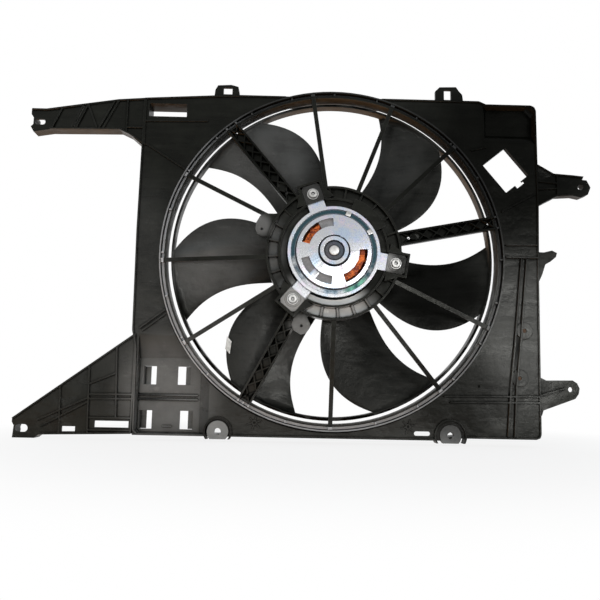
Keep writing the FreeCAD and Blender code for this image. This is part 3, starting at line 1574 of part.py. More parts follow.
def core_low():
    """The armature stack starts behind the brush holders and its own front end turns."""
    holder_top = brush_rise() + size["brush_height"] / 2 + size["holder_wall"] + size["brush_gap"]
    return holder_top + size["winding_gap"] + size["winding_overhang"]


def make_core():
    """The slotted stack of the armature."""
    body = new_body("armature_core")
    sketch = turned_sketch(body, "core_profile")
    low, high = core_low(), core_low() + size["core_length"]
    outer = core_radius()
    shaft = size["shaft_radius"] + 0.02
    outline(sketch, [(radius, -rise) for radius, rise in tube_points(shaft, outer, low, high)])
    turn(body, sketch)
    slot = face_sketch(body, "core_slot", high)
    half, throat = size["core_slot_width"] / 2, 1.1
    neck = outer - size["core_tooth_tip"]
    root = outer - size["core_slot_depth"]
    outline(slot, [
        (root, -half), (neck, -half * 1.6), (neck, -throat), (outer + 1.0, -throat), (outer + 1.0, throat),
        (neck, throat), (neck, half * 1.6), (root, half),
    ])
    cut_slot = pocket(body, slot, size["core_length"])
    around(body, [cut_slot], sketch, size["core_slot_count"])
    return body


def make_windings():
    """Copper coils: a bar of wire in each slot and a puffed ring of end turns at both ends."""
    low, high = core_low(), core_low() + size["core_length"]
    outer, neck = core_radius() - 2.4, core_radius() - size["core_tooth_tip"] - 0.3
    inner, over = size["winding_inner"], size["winding_overhang"]
    rear = new_body("winding_form")
    sketch = turned_sketch(rear, "winding_rear_profile")
    outline(sketch, [(radius, -rise) for radius, rise in [
        (inner, high + 0.1), (outer, high + 0.1), (outer, high + over - 3.0), (outer - 3.0, high + over),
        (inner + 3.0, high + over), (inner, high + over - 3.0),
    ]])
    turn(rear, sketch)
    front = turned_sketch(rear, "winding_front_profile")
    outline(front, [(radius, -rise) for radius, rise in [
        (inner, low - 0.1), (outer, low - 0.1), (outer, low - over + 3.0), (outer - 3.0, low - over),
        (inner + 3.0, low - over), (inner, low - over + 3.0),
    ]])
    turn(rear, front)
    bar = face_sketch(rear, "winding_bar", low - 0.5)
    half = size["core_slot_width"] / 2 - 0.3
    root = core_radius() - size["core_slot_depth"] + 0.4
    outline(bar, [(root, -half), (neck, -half * 1.5), (neck, half * 1.5), (root, half)])
    bar_pad = pad(rear, bar, size["core_length"] + 1.0)
    around(rear, [bar_pad], sketch, size["core_slot_count"])
    rear.Label = "windings"
    return rear


def make_commutator():
    """The copper drum that the brushes rub on, with a groove between its bars."""
    low = brush_rise() - size["commutator_length"] / 2
    high = low + size["commutator_length"]
    outer, inner = size["commutator_radius"], size["shaft_radius"] + 0.02
    body = new_body("commutator")
    sketch = turned_sketch(body, "commutator_profile")
    outline(sketch, [(radius, -rise) for radius, rise in tube_points(inner, outer, low, high)])
    turn(body, sketch)
    groove = face_sketch(body, "commutator_groove", high)
    outline(groove, rectangle(outer - 1.0, outer + 1.0, -0.4, 0.4))
    cut_groove = pocket(body, groove, size["commutator_length"])
    around(body, [cut_groove], sketch, size["commutator_bars"])
    return body


def make_brush_plate():
    """The insulating card inside the can that carries the brush holders."""
    outer = size["can_radius"] - size["can_sheet"] - 0.05
    low = plate_rise()
    points = tube_points(size["brush_plate_bore"], outer, low, low + size["brush_plate_sheet"])
    return turned_body("brush_plate", points)


def make_brush_gear():
    """Two brushes across the commutator, each in a brass box with a coil spring behind it."""
    centre = brush_rise()
    wide, tall = size["brush_width"] / 2, size["brush_height"] / 2
    gap, wall = size["brush_gap"], size["holder_wall"]
    near = size["commutator_radius"] + size["brush_gap"]
    start = near + 2.0
    end = start + size["holder_length"]
    brushes, holders, springs = [], [], []
    for number, angle in enumerate((0.0, 180.0), 1):
        spin = Placement(Vector(), Rotation(Vector(0, -1, 0), angle))
        brush = new_body("brush_%d" % number)
        sketch = face_sketch(brush, "brush_outline_%d" % number, centre - tall)
        outline(sketch, rectangle(near, near + size["brush_length"], -wide, wide))
        pad(brush, sketch, size["brush_height"])
        brush.Placement = spin
        brushes.append(brush)
        holder = new_body("brush_holder_%d" % number)
        sketch = face_sketch(holder, "holder_outline_%d" % number, centre - tall - wall)
        outline(sketch, rectangle(start, end, -wide - wall - gap, wide + wall + gap))
        pad(holder, sketch, size["brush_height"] + wall * 2 + gap)
        room = face_sketch(holder, "holder_room_%d" % number, centre + tall + gap)
        outline(room, rectangle(start - 1.0, end - wall, -wide - gap, wide + gap))
        pocket(holder, room, size["brush_height"] + gap)
        holder.Placement = spin
        holders.append(holder)
        back = near + size["brush_length"]
        spring = doc.addObject("Part::Feature", "brush_spring_%d" % number)
        spring.Shape = spring_shape((end - wall - back).value - 0.2)
        spring.Placement = Placement(
            spin.multVec(Vector(back.value + 0.1, -centre.value, 0)),
            spin.Rotation * Rotation(Vector(0, 1, 0), 90),
        )
        springs.append(spring)
    return [group("brushes", brushes), group("brush_holders", holders), group("brush_springs", springs)]


def spring_shape(length):
    """A short coil of square-cut turns along +Z, joined by a bar down one side."""
    radius, wire = SIZES["spring_radius"], SIZES["spring_wire"]
    turns = []
    count = max(int(length / (wire * 4.0)), 2)
    step = (length - wire) / (count - 1)
    for number in range(count):
        low = Vector(0, 0, number * step)
        outer = Part.makeCylinder(radius + wire / 2, wire, low)
        turns.append(outer.cut(Part.makeCylinder(radius - wire / 2, wire, low)))
    rail = Part.makeBox(wire, wire, length, Vector(radius - wire / 2, -wire / 2, 0))
    return turns[0].multiFuse(turns[1:] + [rail])


# Rotor and fan

def make_shaft():
    """The shaft, with a flat thrust collar behind the fan hub and a threaded nose."""
    radius = size["shaft_radius"]
    low, high = size["shaft_front_rise"], cap_base() + 0.4
    return turned_body("shaft", [
        (0.0, low), (radius - 0.8, low), (radius, low + 0.8), (radius, high - 0.8),
        (radius - 0.8, high), (0.0, high),
    ])


def make_fan_hub():
    """The cup that covers the motor's front, with its centre boss and inner ribs."""
    outer, wall, front = size["hub_radius"], size["hub_wall"], size["hub_front_rise"]
    rear = front + size["hub_depth"]
    edge = size["hub_edge_round"]
    boss, bore = size["hub_boss_radius"], size["hub_insert_radius"]
    body = new_body("hub_form")
    sketch = turned_sketch(body, "hub_profile")
    points = [
        (bore, front), (outer - edge, front), (outer - edge * 0.3, front + edge * 0.3),
        (outer, front + edge),
        (outer, rear), (outer - wall, rear), (outer - wall, front + edge + 0.6),
        (outer - edge - 0.4, front + wall), (boss, front + wall),
        (boss, front + size["hub_boss_height"] - 4.0),
        (bore, front + size["hub_boss_height"] - 4.0),
    ]
    outline(sketch, [(radius, -rise) for radius, rise in points])
    turn(body, sketch)
    rib = turned_sketch(body, "hub_rib", 7.0)
    outline(rib, rectangle(
        boss - 1.0, outer - wall + 0.5, -front - wall - size["hub_rib_height"], -front - wall / 2,
    ))
    rib_pad = pad(body, rib, size["hub_rib_width"], True)
    around(body, [rib_pad], sketch, size["hub_rib_count"])
    return body


def make_fan_ring():
    """The ring that joins the blade tips, with a small lip at its front edge."""
    outer, wall = size["fan_radius"], size["fan_ring_wall"]
    rear = size["fan_ring_rise"]
    front = rear - size["fan_ring_depth"]
    lip = size["fan_lip"]
    return turned_body("fan_ring_form", [
        (outer - wall, front + 1.0), (outer - wall + 0.8, front), (outer + lip, front),
        (outer + lip, front + 2.0),
        (outer, front + 3.0), (outer, rear), (outer - wall, rear),
    ])


def blade_edges(radius):
    """The angles of the trailing and the leading edge at a radius, from the blade's own line."""
    share = (radius - SIZES["hub_radius"]) / (SIZES["fan_radius"] - SIZES["hub_radius"])
    trailing = -37.5 + 2.2 * share + 7.5 * share ** 2 + 15.6 * share ** 3
    leading = 11.0 - 33.0 * share + 47.0 * share ** 2 - 12.6 * share ** 3
    return trailing, leading


def blade_point(radius, along, side):
    """A point of one blade face: along goes from the trailing edge to the leading edge."""
    share = (radius - SIZES["hub_radius"]) / (SIZES["fan_radius"] - SIZES["hub_radius"])
    trailing, leading = blade_edges(radius)
    angle = trailing + (leading - trailing) * along
    fall = SIZES["blade_root_height"] - SIZES["blade_tip_height"]
    height = SIZES["blade_root_height"] - fall * max(share, 0.0) ** 0.8
    chord = math.radians(leading - trailing) * radius
    bow = 4.0 * SIZES["blade_camber"] * chord * along * (1.0 - along) * (1.0 - 0.45 * share)
    pitch = math.atan2(height, chord)
    taper = 0.55 + 0.45 * math.sin(math.pi * min(max(along, 0.0), 1.0)) ** 0.6
    thick = side * SIZES["blade_thickness"] / 2 * taper / math.cos(pitch)
    rise = SIZES["blade_trailing_rise"] - height * along + bow * 0.6 + thick
    x, z = polar(radius, angle)
    return Vector(x, -rise, z)


def blade_shape():
    """One twisted and cambered blade as a closed solid between the hub wall and the ring."""
    inner = SIZES["hub_radius"] - SIZES["hub_wall"] * 0.5
    outer = SIZES["fan_radius"] - SIZES["fan_ring_wall"] * 0.4
    stations = 6
    steps = 5
    sides = []
    for side in (-1.0, 1.0):
        grid = []
        for row in range(stations):
            radius = inner + (outer - inner) * row / (stations - 1)
            grid.append([blade_point(radius, column / (steps - 1), side) for column in range(steps)])
        surface = Part.BSplineSurface()
        surface.interpolate(grid)
        sides.append(surface)
    faces = [side.toShape() for side in sides]
    front, back = sides
    for first, second in (
        (front.uIso(front.bounds()[0]), back.uIso(back.bounds()[0])),
        (front.uIso(front.bounds()[1]), back.uIso(back.bounds()[1])),
        (front.vIso(front.bounds()[2]), back.vIso(back.bounds()[2])),
        (front.vIso(front.bounds()[3]), back.vIso(back.bounds()[3])),
    ):
        faces.append(Part.makeRuledSurface(first.toShape(), second.toShape()))
    shell = Part.Shell(Part.makeCompound(faces).Faces)
    shell.sewShape()
    solid = Part.makeSolid(shell)
    if solid.Volume < 0:
        solid.reverse()
    return solid


def blade_angles():
    """The blades stand unevenly round the hub; the tip is what each angle is measured to."""
    trailing, leading = blade_edges(SIZES["fan_radius"])
    middle = (trailing + leading) / 2
    return [SIZES["blade_%d_angle" % number] - middle for number in range(1, 7)]


def make_fan():
    one = blade_shape()
    blades = []
    for number, angle in enumerate(blade_angles(), 1):
        blade = doc.addObject("Part::Feature", "blade_form_%d" % number)
        blade.Shape = one
        blade.Placement = Placement(Vector(), Rotation(Vector(0, -1, 0), angle))
        blades.append(blade)
    return fuse("fan", [make_fan_hub(), make_fan_ring()] + blades)


def make_hub_insert():
    """The metal bush moulded into the hub, which the shaft passes through."""
    front = size["hub_front_rise"]
    inner, outer = size["shaft_radius"] + 0.02, size["hub_insert_radius"]
    return turned_body("hub_insert", [
        (inner, front), (outer - 0.02, front), (outer - 0.02, front + size["hub_boss_height"] - 4.0),
        (inner, front + size["hub_boss_height"] - 4.0),
    ])


def make_washer():
    front = size["hub_front_rise"]
    inner = size["shaft_radius"] + 0.2
    return turned_body(
        "fan_washer", tube_points(inner, size["washer_radius"], front - size["washer_thickness"], front),
    )


def make_nut():
    """A hexagon nut that holds the fan on the shaft."""
    body = new_body("fan_nut")
    high = size["hub_front_rise"] - size["washer_thickness"]
    sketch = face_sketch(body, "nut_outline", high - size["nut_height"])
    corners = []
    reach = 2.0 / math.sqrt(3.0) / 2.0
    for step in range(6):
        x, z = polar(reach, 60.0 * step)
        corners.append((size["nut_across_flats"] * x, size["nut_across_flats"] * z))
    outline(sketch, corners)
    circle(sketch, 0.0, 0.0, size["shaft_radius"] + 0.03)
    pad(body, sketch, size["nut_height"])
    return body


def make_thrust_washers():
    """Hard washers on the shaft at both ends of the armature stack."""
    inner = size["shaft_radius"] + 0.02
    front = size["can_front_rise"] - 4.0 + size["bearing_length"]
    one = turned_body("thrust_washer_1", tube_points(inner, inner + 3.5, front + 0.1, front + 0.9))
    rear = cap_base() - size["bearing_length"]
    two = turned_body("thrust_washer_2", tube_points(inner, inner + 3.5, rear - 0.9, rear - 0.1))
    return group("thrust_washers", [one, two])


def make_balance_clip():
    """A spring clip pushed over the trailing edge of the fourth blade."""
    radius = SIZES["clip_radius"]
    trailing, leading = blade_edges(radius)
    angle = blade_angles()[3]
    depth, sheet = SIZES["clip_depth"], 0.7
    outer = SIZES["blade_thickness"] * 0.75 + 0.25
    edge = blade_point(radius, 0.0, 0.0)
    inward = blade_point(radius, 0.12, 0.0) - edge
    inward.normalize()
    outward = blade_point(radius + 6.0, 0.0, 0.0) - blade_point(radius - 6.0, 0.0, 0.0)
    outward.normalize()
    normal = inward.cross(outward)
    normal.normalize()
    half = SIZES["clip_length"] / 2

    def corner(across, over):
        return edge - outward * half + inward * across + normal * over

    path = [
        (-1.2, -outer - sheet), (depth, -outer - sheet), (depth, -outer), (-1.2 + sheet, -outer),
        (-1.2 + sheet, outer), (depth, outer), (depth, outer + sheet), (-1.2, outer + sheet),
    ]
    wire = Part.makePolygon([corner(*item) for item in path] + [corner(*path[0])])
    clip = doc.addObject("Part::Feature", "balance_clip")
    clip.Shape = Part.Face(wire).extrude(outward * SIZES["clip_length"])
    clip.Placement = Placement(Vector(), Rotation(Vector(0, -1, 0), angle))
    return clip


def make_lead_cover():
    """The flat cover over the part of the carrier where the motor's leads pass."""
    rear = size["carrier_rise"]
    inner, outer = size["can_rim_radius"] + 1.0, size["carrier_radius"] - 10.8
    body = new_body("lead_cover")
    sketch = turned_sketch(body, "lead_cover_profile", 48.5)
    outline(sketch, [(radius, -rise) for radius, rise in [
        (inner, rear + 0.05), (outer, rear + 0.05), (outer, rear + 1.6), (inner, rear + 1.6),
    ]])
    turn(body, sketch, 41.0)
    return body


def check(nodes):
    """Stop if a feature failed or a sub-part isn't a valid solid."""
    for item in doc.Objects:
        if "Invalid" in item.State or "Error" in item.State:
            raise RuntimeError("%s: %s" % (item.Label, item.State))
    for node in nodes:
        shape = node.Shape
        if shape.isNull() or not shape.isValid() or not shape.Solids:
            raise RuntimeError("%s has no valid solid" % node.Label)
        print("%-16s solids %d faces %4d volume %10.1f" % (
            node.Label, len(shape.Solids), len(shape.Faces), shape.Volume,
        ))


def main():
    nodes = [make_shroud(), make_motor_can(), make_end_shield(), make_lugs()]
    nodes += [make_grommets(), make_sleeves()]
    nodes += [make_screws()] + make_bearings() + [make_bearing_cap(), make_magnets(), make_brush_plate()]
    nodes += make_brush_gear()
    nodes += [make_core(), make_windings(), make_commutator(), make_shaft(), make_thrust_washers()]
    nodes += [make_fan(), make_hub_insert(), make_washer(), make_nut()]
    nodes += [make_balance_clip(), make_lead_cover()]
    doc.recompute()
    check(nodes)
    os.makedirs("parts", exist_ok=True)
    for node in nodes:
        node.Shape.exportStep("parts/%s.step" % node.Label)


main()
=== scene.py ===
"""Looks of the radiator cooling fan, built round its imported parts."""

from __future__ import annotations

import logging
import math
from dataclasses import dataclass, field
from enum import Enum
from typing import Any

import bpy
from mathutils import Matrix, Vector

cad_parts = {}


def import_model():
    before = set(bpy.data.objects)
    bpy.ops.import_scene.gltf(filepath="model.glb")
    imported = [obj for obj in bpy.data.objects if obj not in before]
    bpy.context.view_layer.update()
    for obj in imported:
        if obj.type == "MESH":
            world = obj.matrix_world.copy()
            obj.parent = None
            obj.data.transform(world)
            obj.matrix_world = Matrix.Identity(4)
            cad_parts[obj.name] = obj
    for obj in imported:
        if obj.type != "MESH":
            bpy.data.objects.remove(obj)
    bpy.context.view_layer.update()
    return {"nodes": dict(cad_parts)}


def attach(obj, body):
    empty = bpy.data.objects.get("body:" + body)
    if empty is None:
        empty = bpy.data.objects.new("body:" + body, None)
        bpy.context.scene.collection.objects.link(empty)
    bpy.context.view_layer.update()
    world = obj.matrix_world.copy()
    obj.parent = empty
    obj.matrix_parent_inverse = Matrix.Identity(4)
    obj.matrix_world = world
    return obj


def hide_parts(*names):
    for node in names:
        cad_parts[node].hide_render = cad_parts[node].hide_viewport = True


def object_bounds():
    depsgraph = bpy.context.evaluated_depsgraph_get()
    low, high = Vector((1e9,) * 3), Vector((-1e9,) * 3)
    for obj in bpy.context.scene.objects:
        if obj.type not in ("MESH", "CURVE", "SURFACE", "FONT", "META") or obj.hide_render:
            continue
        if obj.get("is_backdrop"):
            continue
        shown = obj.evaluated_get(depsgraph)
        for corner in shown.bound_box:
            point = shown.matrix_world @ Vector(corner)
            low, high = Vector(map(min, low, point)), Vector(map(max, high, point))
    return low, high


LOG = logging.getLogger("cooling_fan")
MM = 0.001
HOUSING = "housing"
ROTOR = "rotor"
WHITE = (1.0, 1.0, 1.0, 1.0)
SMOOTH_ANGLE = 35.0
WELD = 0.000002
Colour = tuple[float, float, float]
Point = tuple[float, float, float]


class Spread(Enum):
    """How a noise pattern is laid over a surface."""

    FINE = "fine"
    CLOUDY = "cloudy"


class Value:
    """A shader value that adds Math nodes when it is used in an expression."""

    def __init__(self, graph: NodeGraph, socket: bpy.types.NodeSocket) -> None:
        """Wrap one output socket.

        Args:
            graph: The node graph that the socket belongs to.
            socket: The output that holds the value.
        """
        self.graph = graph
        self.socket = socket

    def _maths(self, operation: str, first: Any, second: Any = None) -> Value:
        """Add one Math node.

        Args:
            operation: The Math node's operation.
            first: The first number or value.
            second: The second number or value, if the operation has one.

        Returns:
            The node's result.
        """
        inputs = {0: first} if second is None else {0: first, 1: second}
        return self.graph.value("ShaderNodeMath", {"operation": operation}, inputs)

    def __add__(self, other: Any) -> Value:
        """Add."""
        return self._maths("ADD", self, other)

    def __radd__(self, other: Any) -> Value:
        """Add to a number."""
        return self._maths("ADD", other, self)

    def __sub__(self, other: Any) -> Value:
        """Subtract."""
        return self._maths("SUBTRACT", self, other)

    def __rsub__(self, other: Any) -> Value:
        """Subtract from a number."""
        return self._maths("SUBTRACT", other, self)

    def __mul__(self, other: Any) -> Value:
        """Multiply."""
        return self._maths("MULTIPLY", self, other)

    def __rmul__(self, other: Any) -> Value:
        """Multiply a number."""
        return self._maths("MULTIPLY", other, self)

    def __truediv__(self, other: Any) -> Value:
        """Divide."""
        return self._maths("DIVIDE", self, other)

    def __pow__(self, other: Any) -> Value:
        """Raise to a power."""
        return self._maths("POWER", self, other)

    def absolute(self) -> Value:
        """Return the value without its sign."""
        return self._maths("ABSOLUTE", self)

    def limited(self) -> Value:
        """Return the value held between 0 and 1."""
        return self.graph.value("ShaderNodeClamp", {}, {"Value": self})

    def step(self, low: float, high: float) -> Value:
        """Return 0 below low and 1 above high, with a smooth ramp between them."""
        settings = {"interpolation_type": "SMOOTHSTEP"}
        inputs = {"Value": self, "From Min": low, "From Max": high}
        return self.graph.value("ShaderNodeMapRange", settings, inputs)


class NodeGraph:
    """The nodes of one world or material."""

    def __init__(self, tree: bpy.types.NodeTree) -> None:
        """Start with an empty tree.

        Args:
            tree: The node tree of the world or material.
        """
        self.tree = tree
        self.tree.nodes.clear()

    def node(
        self, kind: str, settings: dict[str, Any] | None = None, inputs: dict[Any, Any] | None = None
    ) -> bpy.types.Node:
        """Add one node.

        Args:
            kind: The node's type.
            settings: Properties to set before its sockets.
            inputs: Values or links of its sockets, by name or number.

        Returns:
            The new node.
        """
        made = self.tree.nodes.new(kind)
        for key, setting in (settings or {}).items():
            setattr(made, key, setting)
        for key, content in (inputs or {}).items():
            self.feed(made.inputs[key], content)
        return made

    def feed(self, socket: bpy.types.NodeSocket, content: Any) -> None:
        """Link or set one input socket."""
        if isinstance(content, Value):
            content = content.socket
        if isinstance(content, bpy.types.NodeSocket):
            self.tree.links.new(content, socket)
        else:
            socket.default_value = content

    def value(
        self, kind: str, settings: dict[str, Any] | None = None, inputs: dict[Any, Any] | None = None,
        output: Any = 0,
    ) -> Value:
        """Add one node and return one of its outputs as a value."""
        return Value(self, self.node(kind, settings, inputs).outputs[output])

    def parts(self, vector: Any) -> list[Value]:
        """Return a vector's x, y and z."""
        split = self.node("ShaderNodeSeparateXYZ", {}, {"Vector": vector})
        return [Value(self, output) for output in split.outputs]

    def shown(self) -> Value:
        """Return 1 for rays from the camera or from a reflection, and 0 for the light's own rays."""
        rays = self.node("ShaderNodeLightPath").outputs
        names = ("Is Camera Ray", "Is Glossy Ray", "Is Transmission Ray")
        camera, glossy, through = [Value(self, rays[name]) for name in names]
        return (camera + glossy + through).limited()


class SurfaceGraph(NodeGraph):
    """The nodes of one material, with the patterns that the finishes are made of."""

    def __init__(self, name: str) -> None:
        """Start a plain material.

        Args:
            name: The material's name.
        """
        self.material = bpy.data.materials.new(name)
        self.material.use_nodes = True
        super().__init__(self.material.node_tree)
        self.shader = self.node("ShaderNodeBsdfPrincipled")
        self.output = self.node("ShaderNodeOutputMaterial")
        self.feed(self.output.inputs["Surface"], self.shader.outputs[0])
        self.place = self.node("ShaderNodeTexCoord").outputs["Object"]

    def noise(self, size: float, detail: float = 3.0, spread: Spread = Spread.CLOUDY) -> Value:
        """Return a noise pattern.

        Args:
            size: The size of its blobs in metres.
            detail: How many octaves it has.
            spread: Cloudy or fine.

        Returns:
            The pattern, about 0 to 1.
        """
        rough = 0.5 if spread is Spread.CLOUDY else 0.75
        inputs = {"Vector": self.place, "Scale": 1.0 / size, "Detail": detail, "Roughness": rough}
        return self.value("ShaderNodeTexNoise", {}, inputs)

    def streaks(self, across: float, along: float, turn: Point) -> Value:
        """Return a noise pattern drawn out along X.

        Args:
            across: The width of a streak in metres.
            along: Its length in metres.
            turn: How the pattern is turned, in radians.

        Returns:
            The pattern, about 0 to 1.
        """
        inputs = {"Vector": self.place, "Rotation": turn, "Scale": (across / along, 1.0, 1.0)}
        mapped = self.node("ShaderNodeMapping", {}, inputs)
        inputs = {"Vector": mapped.outputs[0], "Scale": 1.0 / across, "Detail": 4.0, "Roughness": 0.6}
        return self.value("ShaderNodeTexNoise", {}, inputs)

    def axes(self) -> list[Value]:
        """Return the surface point's x, y and z in the row frame, in metres."""
        return self.parts(self.place)

    def facing(self) -> list[Value]:
        """Return the x, y and z of the direction that a face looks in."""
        return self.parts(self.node("ShaderNodeTexCoord").outputs["Normal"])

    def reach(self, x: float = 0.0, z: float = 0.0, wide: float = 1.0) -> Value:
        """Return the distance from a line along Y, which is the fan axis if no place is given.

        Args:
            x: The line's x in metres.
            z: The line's z in metres.
            wide: How many times wider than tall the rings of equal distance are.

        Returns:
            The distance in metres.
        """
        across, _, up = self.axes()
        return (((across - x) / wide) ** 2 + (up - z) ** 2) ** 0.5

    def band(self, value: Value, low: float, high: float, soft: float) -> Value:
        """Return 1 where a value lies between two limits, with soft ends."""
        return value.step(low - soft, low + soft) * (1.0 - value.step(high - soft, high + soft))

    def mix(self, share: Any, first: Any, second: Any) -> bpy.types.NodeSocket:
        """Mix two colours."""
        one, two = [(*item, 1.0) if isinstance(item, tuple) else item for item in (first, second)]
        mixed = self.node("ShaderNodeMix", {"data_type": "RGBA"}, {"Factor": share, 6: one, 7: two})
        return mixed.outputs[2]

    def bump(
        self, height: Any, distance: float, strength: float = 1.0, normal: Any = None
    ) -> bpy.types.NodeSocket:
        """Turn a height pattern into a surface normal."""
        inputs = {"Height": height, "Distance": distance, "Strength": strength}
        if normal is not None:
            inputs["Normal"] = normal
        return self.node("ShaderNodeBump", {}, inputs).outputs[0]

    def rounded(self, radius: float) -> bpy.types.NodeSocket:
        """Return a normal that rounds sharp edges by a radius in metres."""
        return self.node("ShaderNodeBevel", {"samples": 4}, {"Radius": radius}).outputs[0]

    def open_air(self, distance: float) -> Value:
        """Return how open a point is, from 0 in a tight corner to 1 on a free face."""
        return self.value("ShaderNodeAmbientOcclusion", {"samples": 6}, {"Distance": distance}, "AO")

    def edge_mask(self, radius: float) -> Value:
        """Return 1 near a sharp edge and 0 on a plain face."""
        soft = self.node("ShaderNodeBevel", {"samples": 6}, {"Radius": radius}).outputs[0]
        plain = self.node("ShaderNodeNewGeometry").outputs["Normal"]
        inputs = {0: soft, 1: plain}
        alike = self.value("ShaderNodeVectorMath", {"operation": "DOT_PRODUCT"}, inputs, "Value")
        return (1.0 - alike).step(0.01, 0.16)

    def surface(self, **inputs: Any) -> bpy.types.Material:
        """Set the shader's sockets, with underscores in place of spaces, and return the material."""
        for key, content in inputs.items():
            name = key.replace("_", " ")
            if isinstance(content, tuple):
                content = (*content, 1.0)
            self.feed(self.shader.inputs[name], content)
        return self.material


@dataclass(frozen=True)
class PaintedPatch:
    """A patch of painted light or painted shade on a surface: its middle, its reach, how wide it is, how
    strong and how pale.

    With a level it lies only on faces nearer the radiator than that height, and with a limit only on faces
    nearer the fan axis than that; soft is how softly both end. The core is the share of its reach that has
    its full strength.
    """

    x: float
    z: float
    radius: float
    wide: float
    share: float
    pale: float = 0.16
    level: float = 0.0
    limit: float = 0.0
    core: float = 0.35
    soft: float = 0.0004

    def cover(self, graph: SurfaceGraph) -> Value:
        """Return the patch's strength at each point."""
        middle = graph.reach(self.x, self.z, self.wide)
        fade = 1.0 - middle.step(self.radius * self.core, self.radius)
        if self.limit:
            fade = fade * (1.0 - graph.reach().step(self.limit - self.soft, self.limit + self.soft))
        if self.level:
            _, along, _ = graph.axes()
            fade = fade * (along + self.level).step(-self.soft, self.soft)
        return fade * self.share

    def colour(self) -> Colour:
        """Return the patch's colour, pale for painted light and near black for painted shade."""
        return (self.pale * 0.98, self.pale, self.pale * 0.98)


@dataclass(frozen=True)
class Ring:
    """A ring about the fan axis: its inner and outer radius, its strength and how soft its ends are."""

    low: float
    high: float
    share: float = 1.0
    soft: float = 0.0003

    def cover(self, graph: SurfaceGraph) -> Value:
        """Return the ring's strength at each point."""
        return graph.band(graph.reach(), self.low, self.high, self.soft) * self.share


